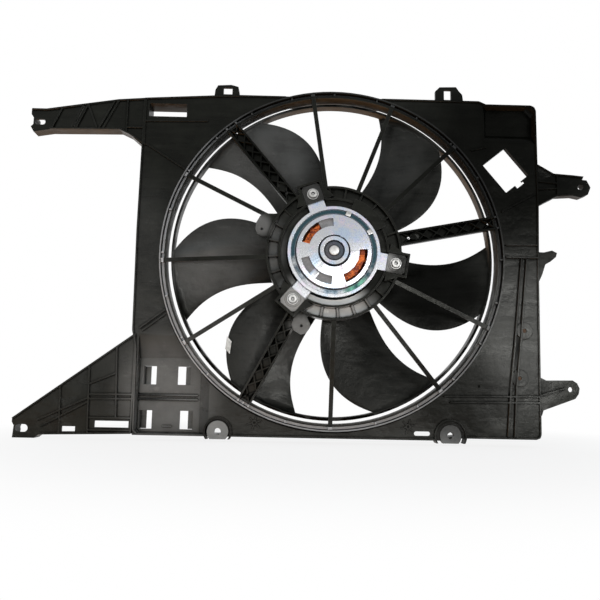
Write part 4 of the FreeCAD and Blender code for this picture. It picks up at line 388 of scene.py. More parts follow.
@dataclass(frozen=True)
class MouldedPlastic:
    """Glass-filled black plastic with flow marks, a fine grain and pale scuffs, with painted light and shade
    on it.
    """

    name: str
    dark: Colour = (0.0030, 0.0034, 0.0022)
    light: Colour = (0.0100, 0.0108, 0.0080)
    dust_and_highlight: Colour = (0.16, 0.159, 0.15)
    scuffed: float = 0.06
    sheen: float = 0.22
    rough: float = 0.40
    gloss: float = 0.13
    swell: float = 0.0016
    flow: float = 0.030
    grain: float = 0.0011
    edge: float = 0.0005
    hollow: float = 0.0026
    edge_wear_and_highlight: float = 0.9
    # Near-black colour of painted shade in corners, under the shade patches and in the ring's dark rings.
    painted_shade: Colour = (0.0011, 0.0012, 0.0009)
    # Colour and share of the painted warm light on low walls, and the radius from the fan axis where it
    # starts.
    warm_light: Colour = (0.170, 0.100, 0.045)
    warm_light_share: float = 0.75
    warm_light_from: float = 0.17
    fade: float = 0.02
    tint: Colour = (0.99, 1.0, 0.95)
    lines: tuple[Ring, ...] = ()
    rails: tuple[Ring, ...] = ()
    rail_highlight: Colour = (0.62, 0.63, 0.64)
    patches: tuple[PaintedPatch, ...] = ()
    shades: tuple[PaintedPatch, ...] = ()

    def build(self) -> bpy.types.Material:
        """Return the material."""
        graph = SurfaceGraph(self.name)
        clouds = graph.noise(self.flow, 5.0)
        veins = graph.streaks(self.flow * 0.22, self.flow * 2.2, (0.3, 0.2, 0.7))
        fine = graph.noise(self.grain, 3.0, Spread.FINE)
        tone = (clouds * 0.55 + veins * 0.45).step(0.36, 0.66)
        scuff = (graph.noise(self.flow * 0.42, 8.0, Spread.FINE) * 0.7 + veins * 0.3).step(0.55, 0.72)
        # Painted shade: free falls in corners and under the shade patches, where the colour goes near black
        # and the gloss is dimmed.
        free = graph.open_air(self.hollow).step(0.4, 0.97)
        for shade in self.shades:
            free = free * (1.0 - shade.cover(graph))
        mottle = (0.35 + clouds * 0.8 + scuff * 0.5) * (0.35 + free * 0.65)
        body = graph.mix(tone, self.dark, self.light)
        body = graph.mix((scuff * free * self.scuffed).limited(), body, self.dust_and_highlight)
        for patch in self.patches:
            # Patches of painted light, and of painted shade where a patch is near black.
            body = graph.mix((patch.cover(graph) * mottle).limited(), body, patch.colour())
        # Paler edges: partly rubbed wear, partly painted highlight; the pale colour is also that of the
        # scuffs.
        worn_and_lit_edge = graph.edge_mask(self.edge * 1.6) * free * (0.3 + scuff * 0.6)
        body = graph.mix((worn_and_lit_edge * self.edge_wear_and_highlight).limited(), body, self.dust_and_highlight)
        colour = graph.mix(free.limited(), self.painted_shade, body)
        if self.rails:
            # Painted shadow: dark rings at the feet of the ring's walls. Painted highlight: the ring's rails
            # made pale, most at the lower left.
            lines = self.rings(graph, self.lines)
            colour = graph.mix((lines * 0.95).limited(), colour, self.painted_shade)
            free = free * (1.0 - lines * 0.8)
            across, _, up = graph.axes()
            lit = (across * -3.2 + up * -4.4 + clouds * 0.9).step(-0.2, 1.3) * 0.94 + 0.06
            rails = (self.rings(graph, self.rails) * lit * 0.9).limited()
            colour = graph.mix(rails, colour, self.rail_highlight)
        # Painted warm light: brown on walls that face down and to the left, away from the fan axis, with
        # their gloss dimmed.
        walls = self.warm_lit_walls(graph) * free
        walls = walls * graph.reach().step(self.warm_light_from - self.fade, self.warm_light_from + self.fade)
        colour = graph.mix((walls * (0.3 + clouds * 0.9) * self.warm_light_share).limited(), colour, self.warm_light)
        rough = self.sheen + (self.rough - self.sheen) * (tone * 0.6 + fine * 0.4) + scuff * 0.10
        grain = graph.bump(fine, 0.00006, 0.4, graph.rounded(self.edge))
        ripple = graph.bump(veins, 0.00030, 0.5, grain)
        normal = graph.bump(clouds, self.swell, 1.0, ripple)
        tops = graph.facing()[2].step(0.6, 0.95)
        gloss = (0.1 + free * 0.9) * (1.0 - walls * 0.6) * (1.0 - tops * 0.9) * self.gloss
        return graph.surface(
            Base_Color=colour, Roughness=rough, Normal=normal, Specular_IOR_Level=gloss,
            Specular_Tint=self.tint,
        )

    @staticmethod
    def rings(graph: SurfaceGraph, rings: tuple[Ring, ...]) -> Value:
        """Return the strength of several rings together."""
        first, *others = [ring.cover(graph) for ring in rings]
        for other in others:
            first = first + other
        return first

    @staticmethod
    def warm_lit_walls(graph: SurfaceGraph) -> Value:
        """Return 1 on walls that face down and to the left, which get painted warm light."""
        across, along, up = graph.facing()
        low = (across * -0.55 + up * -0.83).step(0.25, 0.8)
        return low * (1.0 - along.absolute().step(0.25, 0.6))


@dataclass(frozen=True)
class ZincPlate:
    """Bright zinc plating with a faint iridescent film and fine spots, with painted shade in its grooves,
    recesses and dark rings.

    The glint is a painted green reflection in the groove.
    """

    name: str
    colour: Colour = (0.48, 0.49, 0.50)
    cool: Colour = (0.34, 0.46, 0.60)
    warm: Colour = (0.56, 0.46, 0.56)
    lilac: Colour = (0.30, 0.34, 0.50)
    groove_shade: Colour = (0.016, 0.048, 0.060)
    green: Colour = (0.16, 0.42, 0.30)
    # Near-black colour of painted shade in the dark rings and recesses.
    pitch: Colour = (0.012, 0.014, 0.017)
    rough: float = 0.24
    edge: float = 0.0005
    glint_place: tuple[float, float] = (0.026, -0.038)
    glint_reach: tuple[float, float] = (0.008, 0.020)
    shaded_grooves: tuple[Ring, ...] = ()
    rings: tuple[Ring, ...] = ()

    def build(self) -> bpy.types.Material:
        """Return the material."""
        graph = SurfaceGraph(self.name)
        film = graph.noise(0.020, 3.0)
        blush = graph.noise(0.011, 4.0)
        spots = graph.noise(0.0022, 6.0, Spread.FINE)
        across, _, up = graph.axes()
        corner = (across * 14.0 + up * 16.0 + film * 0.8).step(0.3, 1.3)
        colour = graph.mix(film.step(0.48, 0.64) * 0.6, self.colour, self.cool)
        colour = graph.mix(blush.step(0.52, 0.68) * 0.5, colour, self.warm)
        colour = graph.mix((spots.step(0.47, 0.62) * (0.15 + corner * 0.75)).limited(), colour, self.lilac)
        # Painted shade in the grooves, darker towards the top, left and right, with a painted green
        # reflection at the lower right.
        shaded = (across * 2.0 + up * 10.0 + film * 1.6 + blush * 0.8).step(0.55, 1.15)
        glint = 1.0 - graph.reach(*self.glint_place).step(*self.glint_reach)
        for ring in self.shaded_grooves:
            inside = ring.cover(graph)
            colour = graph.mix((inside * glint).limited(), colour, self.green)
            colour = graph.mix((inside * shaded * 0.97).limited(), colour, self.groove_shade)
        # Dark rings of painted shade in the grooves and the recess round the bearing cap.
        for ring in self.rings:
            colour = graph.mix(ring.cover(graph).limited(), colour, self.pitch)
        # Painted shade in recesses.
        free = graph.open_air(0.0025).step(0.15, 0.9)
        colour = graph.mix(free, self.pitch, colour)
        rough = self.rough + spots.step(0.42, 0.72) * 0.12 + blush * 0.06
        normal = graph.bump(spots, 0.00004, 0.5, graph.rounded(self.edge))
        return graph.surface(Base_Color=colour, Metallic=1.0, Roughness=rough, Normal=normal)


@dataclass(frozen=True)
class PlainMetal:
    """A metal with a fine turned or brushed grain, and painted shade in its recesses."""

    name: str
    colour: Colour
    shade: Colour
    rough: float = 0.3
    grain: float = 0.0009
    hollow: float = 0.0022
    recess_shade: Colour = (0.014, 0.014, 0.015)

    def build(self) -> bpy.types.Material:
        """Return the material."""
        graph = SurfaceGraph(self.name)
        marks = graph.noise(self.grain, 4.0, Spread.FINE)
        patches = graph.noise(self.grain * 9.0, 3.0)
        colour = graph.mix(patches.step(0.4, 0.65), self.colour, self.shade)
        # Painted shade in recesses, such as the screw drives and round the washers.
        free = graph.open_air(self.hollow).step(0.45, 0.95)
        colour = graph.mix(free, self.recess_shade, colour)
        rough = self.rough + marks * 0.16
        normal = graph.bump(marks, 0.00004, 0.5, graph.rounded(0.0003))
        return graph.surface(Base_Color=colour, Metallic=1.0, Roughness=rough, Normal=normal)


@dataclass(frozen=True)
class EnamelledWire:
    """Copper wire under a clear orange enamel, with painted shade where the wires crowd together."""

    name: str
    bright: Colour = (0.56, 0.13, 0.022)
    deep: Colour = (0.10, 0.012, 0.005)
    gap_shade: Colour = (0.02, 0.006, 0.004)

    def build(self) -> bpy.types.Material:
        """Return the material."""
        graph = SurfaceGraph(self.name)
        strands = graph.noise(0.0016, 3.0)
        varnish = graph.noise(0.007, 3.0)
        colour = graph.mix((strands * 0.5 + varnish * 0.5).step(0.4, 0.62), self.deep, self.bright)
        # Painted shade between the wires.
        free = graph.open_air(0.0022).step(0.25, 0.85)
        rough = 0.22 + strands * 0.2
        return graph.surface(
            Base_Color=graph.mix(free, self.gap_shade, colour), Metallic=0.75, Roughness=rough,
            Normal=graph.bump(strands, 0.0001, 0.6), Coat_Weight=0.15,
        )


@dataclass(frozen=True)
class DullSolid:
    """A matt surface without a metal's shine: strap steel, rust, carbon, card or ferrite."""

    name: str
    colour: Colour
    shade: Colour
    rough: float = 0.75
    grain: float = 0.0012

    def build(self) -> bpy.types.Material:
        """Return the material."""
        graph = SurfaceGraph(self.name)
        fine = graph.noise(self.grain, 4.0, Spread.FINE)
        broad = graph.noise(self.grain * 8.0, 3.0)
        colour = graph.mix((fine * 0.5 + broad * 0.5).step(0.35, 0.65), self.colour, self.shade)
        normal = graph.bump(fine, 0.00008, 0.5, graph.rounded(0.0003))
        return graph.surface(Base_Color=colour, Roughness=self.rough - 0.12 + fine * 0.2, Normal=normal)


def select_only(piece: bpy.types.Object) -> None:
    """Select this object and nothing else, and make it active."""
    bpy.ops.object.select_all(action="DESELECT")
    piece.select_set(True)
    bpy.context.view_layer.objects.active = piece


def finish_piece(piece: bpy.types.Object, body: str, material: bpy.types.Material) -> None:
    """Give a piece its material and the body that it rides on.

    Args:
        piece: The piece, in place in the row frame.
        body: The body's name.
        material: The finish.
    """
    piece.data.materials.clear()
    piece.data.materials.append(material)
    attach(piece, body)


def smooth_copy(node: bpy.types.Object, name: str, angle: float, flat: float) -> bpy.types.Object:
    """Copy a CAD node, join its triangles into whole faces and shade it by face size.

    Args:
        node: The CAD node.
        name: The copy's name.
        angle: The sharpest angle, in degrees, that is still shaded smooth.
        flat: The angle, in degrees, below which neighbouring triangles are one flat face.

    Returns:
        The copy, which stands for the node.
    """
    piece = bpy.data.objects.new(name, node.data.copy())
    bpy.context.scene.collection.objects.link(piece)
    select_only(piece)
    bpy.ops.object.mode_set(mode="EDIT")
    bpy.ops.mesh.select_all(action="SELECT")
    bpy.ops.mesh.remove_doubles(threshold=WELD)
    if flat:
        bpy.ops.mesh.dissolve_limited(angle_limit=math.radians(flat))
    bpy.ops.object.mode_set(mode="OBJECT")
    bpy.ops.object.shade_smooth_by_angle(angle=math.radians(angle))
    bpy.ops.object.modifier_add(type="WEIGHTED_NORMAL")
    weighted = piece.modifiers[-1]
    weighted.weight = 100
    weighted.keep_sharp = True
    bpy.ops.object.modifier_apply(modifier=weighted.name)
    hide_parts(node.name)
    return piece


def polar(radius: float, angle: float, rise: float) -> Vector:
    """Return a point from its radius and height in millimetres and its angle in degrees."""
    turn = math.radians(angle)
    return Vector((radius * math.cos(turn), -rise, radius * math.sin(turn))) * MM


def tube(name: str, runs: list[list[Vector]], radius: float) -> bpy.types.Object:
    """Make round wires along runs of points.

    Args:
        name: The piece's name.
        runs: One list of points for each wire, in metres.
        radius: The wire's radius in millimetres.

    Returns:
        The wires as one mesh.
    """
    curve = bpy.data.curves.new(name, "CURVE")
    curve.dimensions = "3D"
    curve.bevel_depth = radius * MM
    curve.bevel_resolution = 2
    curve.use_fill_caps = True
    for points in runs:
        spline = curve.splines.new("POLY")
        spline.points.add(len(points) - 1)
        for knot, point in zip(spline.points, points):
            knot.co = (*point, 1.0)
    piece = bpy.data.objects.new(name, curve)
    bpy.context.scene.collection.objects.link(piece)
    select_only(piece)
    bpy.ops.object.convert(target="MESH")
    bpy.ops.object.shade_smooth()
    return bpy.context.object


def curved_plate(
    name: str, reach: tuple[float, float], sweep: tuple[float, float], level: tuple[float, float],
    ease: float = 0.12,
) -> bpy.types.Object:
    """Make a flat plate between two radii and two angles.

    Args:
        name: The piece's name.
        reach: Its inner and outer radius in millimetres.
        sweep: Its first and last angle in degrees.
        level: Its lower and upper height in millimetres.
        ease: The width of its eased edges in millimetres.

    Returns:
        The plate.
    """
    (inner, outer), (low, high) = reach, level
    steps = max(4, int((sweep[1] - sweep[0]) / 4.0))
    points, faces = [], []
    for step in range(steps + 1):
        angle = sweep[0] + (sweep[1] - sweep[0]) * step / steps
        for radius, rise in ((inner, low), (outer, low), (outer, high), (inner, high)):
            points.append(polar(radius, angle, rise))
    for step in range(steps):
        base = step * 4
        for side in range(4):
            other = (side + 1) % 4
            faces.append((base + side, base + other, base + 4 + other, base + 4 + side))
    faces += [(0, 1, 2, 3), tuple(steps * 4 + side for side in (3, 2, 1, 0))]
    mesh = bpy.data.meshes.new(name)
    mesh.from_pydata(points, [], faces)
    piece = bpy.data.objects.new(name, mesh)
    bpy.context.scene.collection.objects.link(piece)
    select_only(piece)
    bpy.ops.object.mode_set(mode="EDIT")
    bpy.ops.mesh.select_all(action="SELECT")
    bpy.ops.mesh.normals_make_consistent(inside=False)
    bpy.ops.mesh.bevel(offset=ease * MM, segments=2)
    bpy.ops.object.mode_set(mode="OBJECT")
    bpy.ops.object.shade_smooth_by_angle(angle=math.radians(SMOOTH_ANGLE))
    return piece


# Painted light: pale patches where lamp sheen and lit cell floors show.
SHROUD_PAINTED_LIGHT = (
    PaintedPatch(-0.190, -0.165, 0.085, 0.9, 0.75, 0.26), PaintedPatch(0.215, -0.085, 0.150, 0.55, 0.30),
    PaintedPatch(-0.010, -0.215, 0.080, 3.2, 0.16), PaintedPatch(-0.235, -0.030, 0.160, 0.5, 0.20),
    PaintedPatch(-0.150, -0.110, 0.090, 1.0, 0.20), PaintedPatch(0.004, -0.078, 0.050, 1.25, 1.1, 0.70, 0.066, 0.0785),
    PaintedPatch(-0.040, -0.055, 0.035, 1.0, 0.85, 0.55, 0.066, 0.0785),
    PaintedPatch(-0.074, 0.005, 0.050, 0.5, 0.6, 0.22, 0.066, 0.0785),
    PaintedPatch(0.0, -0.0595, 0.030, 1.8, 1.1, 0.90, 0.066, 0.0645),
    PaintedPatch(-0.086, 0.030, 0.018, 1.0, 1.2), PaintedPatch(-0.036, -0.088, 0.018, 1.0, 1.4, 0.20),
    # Near-black rings of painted shade round the two boss arches, and paler boss rings of painted light.
    PaintedPatch(-0.1303, -0.2082, 0.0172, 1.0, 3.0, 0.002, core=0.92),
    PaintedPatch(-0.1303, -0.2082, 0.0128, 1.0, 1.1, 0.34, core=0.94),
    PaintedPatch(0.1416, -0.2082, 0.0172, 1.0, 3.0, 0.002, core=0.92),
    PaintedPatch(0.1416, -0.2082, 0.0128, 1.0, 1.1, 0.30, core=0.94),
)
SHROUD_SHADE = (
    PaintedPatch(0.215, 0.130, 0.170, 1.0, 0.80), PaintedPatch(-0.150, 0.165, 0.130, 1.2, 0.20),
    PaintedPatch(0.130, 0.022, 0.065, 1.2, 0.55), PaintedPatch(-0.090, 0.115, 0.060, 1.0, 0.55),
    PaintedPatch(0.070, 0.100, 0.060, 1.0, 0.40), PaintedPatch(0.150, -0.160, 0.080, 1.0, 0.60),
)
# Dark rings of painted shadow on the ring, and the rails that get a painted highlight.
SHROUD_SHADOW_LINES = (Ring(0.1988, 0.1998), Ring(0.2029, 0.2036, soft=0.0002), Ring(0.2054, 0.2080, soft=0.0005))
SHROUD_RAILS = (Ring(0.1999, 0.2028), Ring(0.2037, 0.2053, 0.6))
# Painted light: paler patches where the blades catch the light.
FAN_PAINTED_LIGHT = (
    PaintedPatch(-0.140, 0.030, 0.110, 1.0, 0.30), PaintedPatch(-0.150, 0.115, 0.055, 1.0, 0.22),
    PaintedPatch(-0.060, -0.120, 0.060, 1.0, 0.22), PaintedPatch(-0.150, -0.020, 0.045, 1.5, 0.35, 0.26),
    PaintedPatch(-0.075, 0.125, 0.070, 1.0, 0.42, 0.22), PaintedPatch(0.070, 0.120, 0.060, 1.0, 0.14),
)
FAN_SHADE = (PaintedPatch(0.130, -0.050, 0.085, 1.0, 0.75), PaintedPatch(0.030, -0.140, 0.060, 1.0, 0.35))
# Painted light: sheen on the grommets, strongest at the lower-left screw.
RUBBER_PAINTED_LIGHT = (
    PaintedPatch(-0.0462, -0.0559, 0.022, 1.0, 1.1, 0.45), PaintedPatch(0.0640, -0.0110, 0.014, 1.0, 0.9, 0.50),
    PaintedPatch(-0.0253, 0.0680, 0.016, 1.0, 0.22, 0.30),
)
# Rings of painted shade in the end shield's grooves and recesses.
SHIELD_SHADE_RINGS = (
    Ring(0.0436, 0.0450, 0.85, 0.0004), Ring(0.0163, 0.0183, soft=0.0004),
    Ring(0.0059, 0.0112, 0.86, 0.0004), Ring(0.0104, 0.0114, soft=0.0004),
    Ring(0.0056, 0.0066, soft=0.0004),
)
FINISHES = (
    MouldedPlastic(
        "shroud_plastic", lines=SHROUD_SHADOW_LINES, rails=SHROUD_RAILS, patches=SHROUD_PAINTED_LIGHT, shades=SHROUD_SHADE,
    ),
    MouldedPlastic(
        "fan_plastic", dark=(0.0044, 0.0048, 0.0040), light=(0.0150, 0.0156, 0.0138), scuffed=0.07,
        gloss=0.12, hollow=0.006, warm_light_share=0.95, edge_wear_and_highlight=0.5, patches=FAN_PAINTED_LIGHT, shades=FAN_SHADE,
    ),
    MouldedPlastic(
        "rubber", dark=(0.0028, 0.0028, 0.0027), light=(0.0080, 0.0080, 0.0078), gloss=0.22,
        hollow=0.003, warm_light_share=0.0, patches=RUBBER_PAINTED_LIGHT,
    ),
    ZincPlate("zinc_steel", shaded_grooves=(Ring(0.0452, 0.0494, soft=0.0007),)),
    ZincPlate("shield_steel", rough=0.20, shaded_grooves=(Ring(0.0450, 0.0494, soft=0.0007),), rings=SHIELD_SHADE_RINGS),
    PlainMetal("screw_steel", (0.50, 0.50, 0.49), (0.30, 0.30, 0.29), 0.30),
    PlainMetal("shaft_steel", (0.70, 0.70, 0.70), (0.60, 0.60, 0.60), 0.18),
    PlainMetal("core_steel", (0.25, 0.25, 0.26), (0.16, 0.16, 0.17), 0.45),
    PlainMetal("bearing_bronze", (0.52, 0.37, 0.18), (0.40, 0.28, 0.14), 0.4),
    PlainMetal("brass", (0.72, 0.56, 0.26), (0.60, 0.44, 0.20), 0.28),
    PlainMetal("clip_steel", (0.34, 0.34, 0.33), (0.24, 0.24, 0.23), 0.35),
    EnamelledWire("copper"),
    DullSolid("strap_steel", (0.20, 0.20, 0.20), (0.34, 0.34, 0.35), 0.6),
    DullSolid("rust", (0.115, 0.060, 0.030), (0.040, 0.024, 0.014), 0.8),
    DullSolid("carbon", (0.02, 0.02, 0.02), (0.05, 0.05, 0.05), 0.6),
    DullSolid("card", (0.30, 0.19, 0.10), (0.38, 0.26, 0.15), 0.6),
    DullSolid("magnet", (0.05, 0.05, 0.055), (0.09, 0.09, 0.10), 0.7),
)


@dataclass
class Workshop:
    """What every sub-assembly needs: the frame's nodes and the finishes."""

    nodes: dict[str, bpy.types.Object]
    finishes: dict[str, bpy.types.Material] = field(default_factory=dict)

    def prepare(self) -> None:
        """Make every finish once."""
        self.finishes = {finish.name: finish.build() for finish in FINISHES}

    def dress(self, node: str, body: str, slot: str, angle: float = 28.0, flat: float = 0.3) -> None:
        """Show a CAD node as a smooth copy with its own finish.

        Args:
            node: The CAD node's name.
            body: The body that it rides on.
            slot: The record's material slot.
            angle: The sharpest smooth angle in degrees.
            flat: The angle in degrees below which triangles are one flat face.
        """
        piece = smooth_copy(self.nodes[node], node + "_piece", angle, flat)
        LOG.info("%s: %d faces", piece.name, len(piece.data.polygons))
        finish_piece(piece, body, self.finishes[slot])


@dataclass
class Shroud:
    """The moulding with its ring, spokes, carrier and arms, and two pins with lengths in millimetres."""

    shop: Workshop
    pin_places: tuple[tuple[float, float], ...] = ((230.8, -83.4), (223.8, -139.8))
    pin_radius: float = 2.5
    pin_height: float = 3.4
    pin_rise: float = 30.8

    def build(self) -> None:
        """Dress the moulding and the cover on its carrier, and fill the two small bosses."""
        self.shop.dress("shroud", HOUSING, "shroud_plastic")
        self.shop.dress("lead_cover", HOUSING, "shroud_plastic")
        self.pins()

    def pins(self) -> None:
        """Add the rusty pins in the two small bosses beside the long ribs."""
        for number, (across, up) in enumerate(self.pin_places, 1):
            bpy.ops.mesh.primitive_cylinder_add(
                vertices=32, radius=self.pin_radius * MM, depth=self.pin_height * MM,
                location=Vector((across, -self.pin_rise, up)) * MM, rotation=(math.radians(90.0), 0.0, 0.0),
            )
            pin = bpy.context.object
            pin.name = "rib_pin_%d" % number
            bpy.ops.object.transform_apply(location=True, rotation=True, scale=True)
            bpy.ops.object.shade_smooth_by_angle(angle=math.radians(SMOOTH_ANGLE))
            finish_piece(pin, HOUSING, self.shop.finishes["rust"])


@dataclass
class Motor:
    """The motor's shell, its mounts and what shows inside it, in millimetres and degrees."""

    shop: Workshop
    coils: int = 12
    wires: int = 6
    wire_radius: float = 0.52
    wire_spacing: float = 1.25
    turn_steps: int = 6
    turn_sweep: float = 44.0
    turn_reach: float = 37.2
    turn_depth: float = 12.0
    turn_rise: float = 66.9
    turn_arch: float = 1.5
    window_reach: tuple[float, float] = (28.0, 40.5)
    strap_level: tuple[float, float] = (69.5, 70.1)
    bridge_level: tuple[float, float] = (69.7, 70.3)
    bridge_sweep: tuple[float, float] = (223.0, 237.0)
    stake_reach: tuple[float, float] = (44.6, 50.6)
    stake_level: tuple[float, float] = (69.6, 70.8)
    stake_places: tuple[float, ...] = (30.0, 70.0)
    stake_sweep: float = 3.6

    def build(self) -> None:
        """Dress the shell, the mounts and the inner parts."""
        shell = [
            ("motor_can", "zinc_steel"), ("end_shield", "shield_steel"), ("motor_lugs", "zinc_steel"),
            ("mount_grommets", "rubber"), ("spacer_sleeves", "screw_steel"), ("motor_screws", "screw_steel"),
            ("bearing_cap", "screw_steel"), ("front_bearing", "bearing_bronze"),
            ("rear_bearing", "bearing_bronze"), ("magnets", "magnet"), ("brush_plate", "card"),
            ("brushes", "carbon"), ("brush_holders", "brass"), ("brush_springs", "clip_steel"),
        ]
        for node, slot in shell:
            self.shop.dress(node, HOUSING, slot)
        turning = [
            ("armature_core", "core_steel"), ("windings", "copper"), ("commutator", "copper"),
            ("shaft", "shaft_steel"), ("thrust_washers", "shaft_steel"),
        ]
        for node, slot in turning:
            self.shop.dress(node, ROTOR, slot)
        self.end_turns()
        self.straps()

    def end_turns(self) -> None:
        """Lay the wires of the coils' rear end turns, which show through the windows."""
        runs = []
        for coil in range(self.coils):
            middle = 360.0 / self.coils * coil
            for wire in range(self.wires):
                spread = (wire - (self.wires - 1) / 2.0) * self.wire_spacing
                points = []
                for step in range(-self.turn_steps, self.turn_steps + 1):
                    share = step / self.turn_steps
                    arch = (1.0 - share * share) ** 0.6
                    radius = self.turn_reach - self.turn_depth * arch + spread * (0.35 + 0.5 * arch)
                    rise = self.turn_rise + self.turn_arch * arch + 0.25 * math.sin(coil * 2.4 + wire)
                    points.append(polar(radius, middle + self.turn_sweep * share, rise))
                runs.append(points)
        wires = tube("winding_wires", runs, self.wire_radius)
        finish_piece(wires, ROTOR, self.shop.finishes["copper"])

    def straps(self) -> None:
        """Add the straps and the bridge behind two windows, and the stakes on the rim."""
        sweeps = {"upper": (92.0, 119.0), "lower": (190.0, 224.0), "lower_end": (236.0, 270.0)}
        for name, sweep in sweeps.items():
            strap = curved_plate("window_strap_" + name, self.window_reach, sweep, self.strap_level)
            finish_piece(strap, HOUSING, self.shop.finishes["strap_steel"])
        for number, angle in enumerate(self.stake_places, 1):
            sweep = (angle - self.stake_sweep, angle + self.stake_sweep)
            stake = curved_plate("rim_stake_%d" % number, self.stake_reach, sweep, self.stake_level)
            finish_piece(stake, HOUSING, self.shop.finishes["screw_steel"])
        bridge = curved_plate("window_bridge", self.window_reach, self.bridge_sweep, self.bridge_level)
        finish_piece(bridge, HOUSING, self.shop.finishes["zinc_steel"])


@dataclass
class FanWheel:
    """The bladed wheel and what holds it on the shaft."""

    shop: Workshop

    def build(self) -> None:
        """Dress the wheel, its insert, its nut and the balance clip."""
        self.shop.dress("fan", ROTOR, "fan_plastic", angle=40.0, flat=0.0)
        held = [
            ("hub_insert", "brass"), ("fan_washer", "screw_steel"), ("fan_nut", "screw_steel"),
            ("balance_clip", "clip_steel"),
        ]
        for node, slot in held:
            self.shop.dress(node, ROTOR, slot)


class Glow(Enum):
    """What a lamp is seen in: everything, only gleams, or everything but gleams."""

    BOTH = "both"
    GLEAM = "gleam"
    PLAIN = "plain"


@dataclass(frozen=True)
class Lamp:
    """A soft rectangular lamp, with its places and size in metres and its power in watts."""

    name: str
    place: Point
    aim: Point
    size: tuple[float, float]
    power: float
    colour: Colour = (1.0, 0.99, 0.98)
    glow: Glow = Glow.BOTH

    def hang(self) -> None:
        """Add the lamp to the scene."""
        data = bpy.data.lights.new(self.name, "AREA")
        data.shape = "RECTANGLE"
        data.size, data.size_y = self.size
        data.energy = self.power
        data.color = self.colour
        lamp = bpy.data.objects.new(self.name, data)
        bpy.context.scene.collection.objects.link(lamp)
        lamp.location = self.place
        beam = Vector(self.aim) - Vector(self.place)
        lamp.rotation_euler = beam.to_track_quat("-Z", "Y").to_euler()
        lamp.visible_camera = False
        lamp.visible_diffuse = self.glow is not Glow.GLEAM
        lamp.visible_glossy = self.glow is not Glow.PLAIN


LAMPS = (
    Lamp("window_lamp", (-0.15, -1.75, -0.35), (-0.05, 0.0, -0.1), (1.7, 0.7), 20.0),
    Lamp("upper_lamp", (0.1, -1.5, 1.3), (0.0, 0.0, 0.0), (1.0, 0.6), 4.0, (0.95, 0.97, 1.0), Glow.PLAIN),
    Lamp("warm_lamp", (-0.22, -0.16, -0.222), (-0.20, -0.06, 0.2), (1.0, 0.18), 0.7, (1.0, 0.55, 0.26)),
    Lamp("low_gleam", (-0.10, -1.75, -0.42), (0.0, 0.0, -0.2), (1.5, 0.4), 44.0, glow=Glow.GLEAM),
    Lamp("right_gleam", (0.85, -1.75, 0.03), (0.2, 0.0, -0.05), (0.3, 0.34), 9.0, glow=Glow.GLEAM),
)


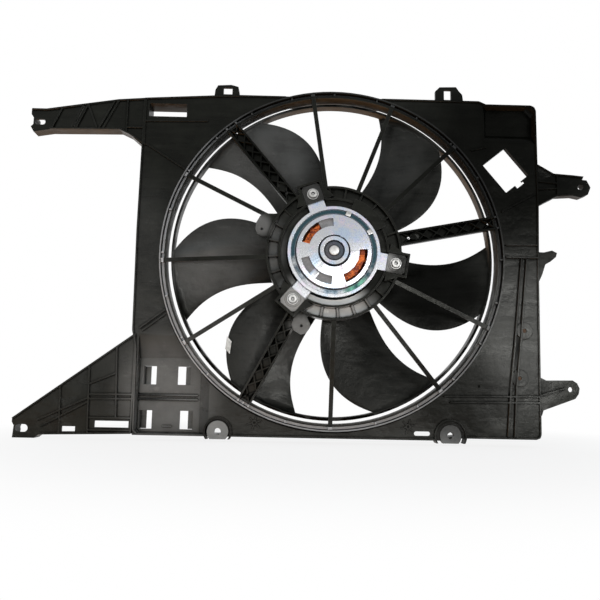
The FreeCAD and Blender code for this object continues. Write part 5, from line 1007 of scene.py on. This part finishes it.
@dataclass
class Studio:
    """The camera, the lamps, the floor and the pale surroundings.

    Places and sizes are in metres, angles in degrees and the camera's sensor in millimetres.
    """

    camera_place: Point = (-0.0475, -0.8018, -0.156)
    pitch: float = -7.69
    yaw: float = 0.75
    roll: float = -1.15
    sensor: float = 36.0
    focal_share: float = 650.0 / 600.0
    floor_gap: float = 0.0008
    floor_size: float = 12.0
    floor_shadow: float = 0.16
    sky_colour: Colour = (0.92, 0.96, 1.0)
    sky_strength: float = 0.4

    def camera(self) -> None:
        """Place the camera at the photograph's viewing angle."""
        data = bpy.data.cameras.new("view_camera")
        data.sensor_width = self.sensor
        data.lens = self.sensor * self.focal_share
        data.clip_start = 0.01
        camera = bpy.data.objects.new("view_camera", data)
        bpy.context.scene.collection.objects.link(camera)
        tilt = Matrix.Rotation(math.radians(self.pitch), 3, "X")
        swing = Matrix.Rotation(math.radians(self.yaw), 3, "Y")
        lean = Matrix.Rotation(math.radians(self.roll), 3, "Z")
        upright = Matrix(((1.0, 0.0, 0.0), (0.0, 0.0, 1.0), (0.0, -1.0, 0.0)))
        facing = (lean @ tilt @ swing @ upright).transposed()
        camera.matrix_world = Matrix.Translation(self.camera_place) @ facing.to_4x4()
        bpy.context.scene.camera = camera

    def pale(self, graph: SurfaceGraph) -> bpy.types.Material:
        """Make a floor white to the camera and in reflections, with the object's shadow kept.

        Args:
            graph: The floor's nodes.

        Returns:
            The floor's material.
        """
        glow = graph.node("ShaderNodeEmission", {}, {"Color": WHITE, "Strength": 1.0})
        across, along, _ = graph.axes()
        near = 1.0 - (across ** 2 + along ** 2).step(0.04, 0.30)
        share = graph.shown() * (1.0 - near * self.floor_shadow)
        inputs = {0: share, 1: graph.shader.outputs[0], 2: glow.outputs[0]}
        mixed = graph.node("ShaderNodeMixShader", {}, inputs)
        graph.feed(graph.output.inputs["Surface"], mixed.outputs[0])
        return graph.surface(Base_Color=(0.9, 0.9, 0.9), Roughness=0.9)

    def floor(self) -> None:
        """Lay the floor under the lowest point of the part."""
        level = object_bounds()[0][2] - self.floor_gap
        bpy.ops.mesh.primitive_plane_add(size=self.floor_size, location=(0.0, 0.0, level))
        floor = bpy.context.object
        floor.name = "floor"
        floor.data.materials.append(self.pale(SurfaceGraph("floor_paint")))
        floor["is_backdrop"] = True

    def world(self) -> None:
        """Make the surroundings white to the camera and softly bright to everything else."""
        world = bpy.data.worlds.new("surroundings")
        world.use_nodes = True
        bpy.context.scene.world = world
        graph = NodeGraph(world.node_tree)
        seen = graph.node("ShaderNodeBackground", {}, {"Color": WHITE, "Strength": 1.0})
        inputs = {"Color": (*self.sky_colour, 1.0), "Strength": self.sky_strength}
        lit = graph.node("ShaderNodeBackground", {}, inputs)
        inputs = {0: graph.shown(), 1: lit.outputs[0], 2: seen.outputs[0]}
        mixed = graph.node("ShaderNodeMixShader", {}, inputs)
        output = graph.node("ShaderNodeOutputWorld")
        graph.feed(output.inputs["Surface"], mixed.outputs[0])

    def build(self) -> None:
        """Set up the view, the lamps and the surroundings."""
        bpy.context.scene.view_settings.view_transform = "Standard"
        self.camera()
        self.world()
        self.floor()
        for lamp in LAMPS:
            lamp.hang()


def main() -> None:
    """Build every sub-assembly round the frame and close the scene."""
    logging.basicConfig(level=logging.INFO, format="%(name)s %(message)s")
    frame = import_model()
    shop = Workshop(frame["nodes"])
    shop.prepare()
    for assembly in (Shroud(shop), Motor(shop), FanWheel(shop)):
        assembly.build()
    Studio().build()


if __name__ == "__main__":
    main()
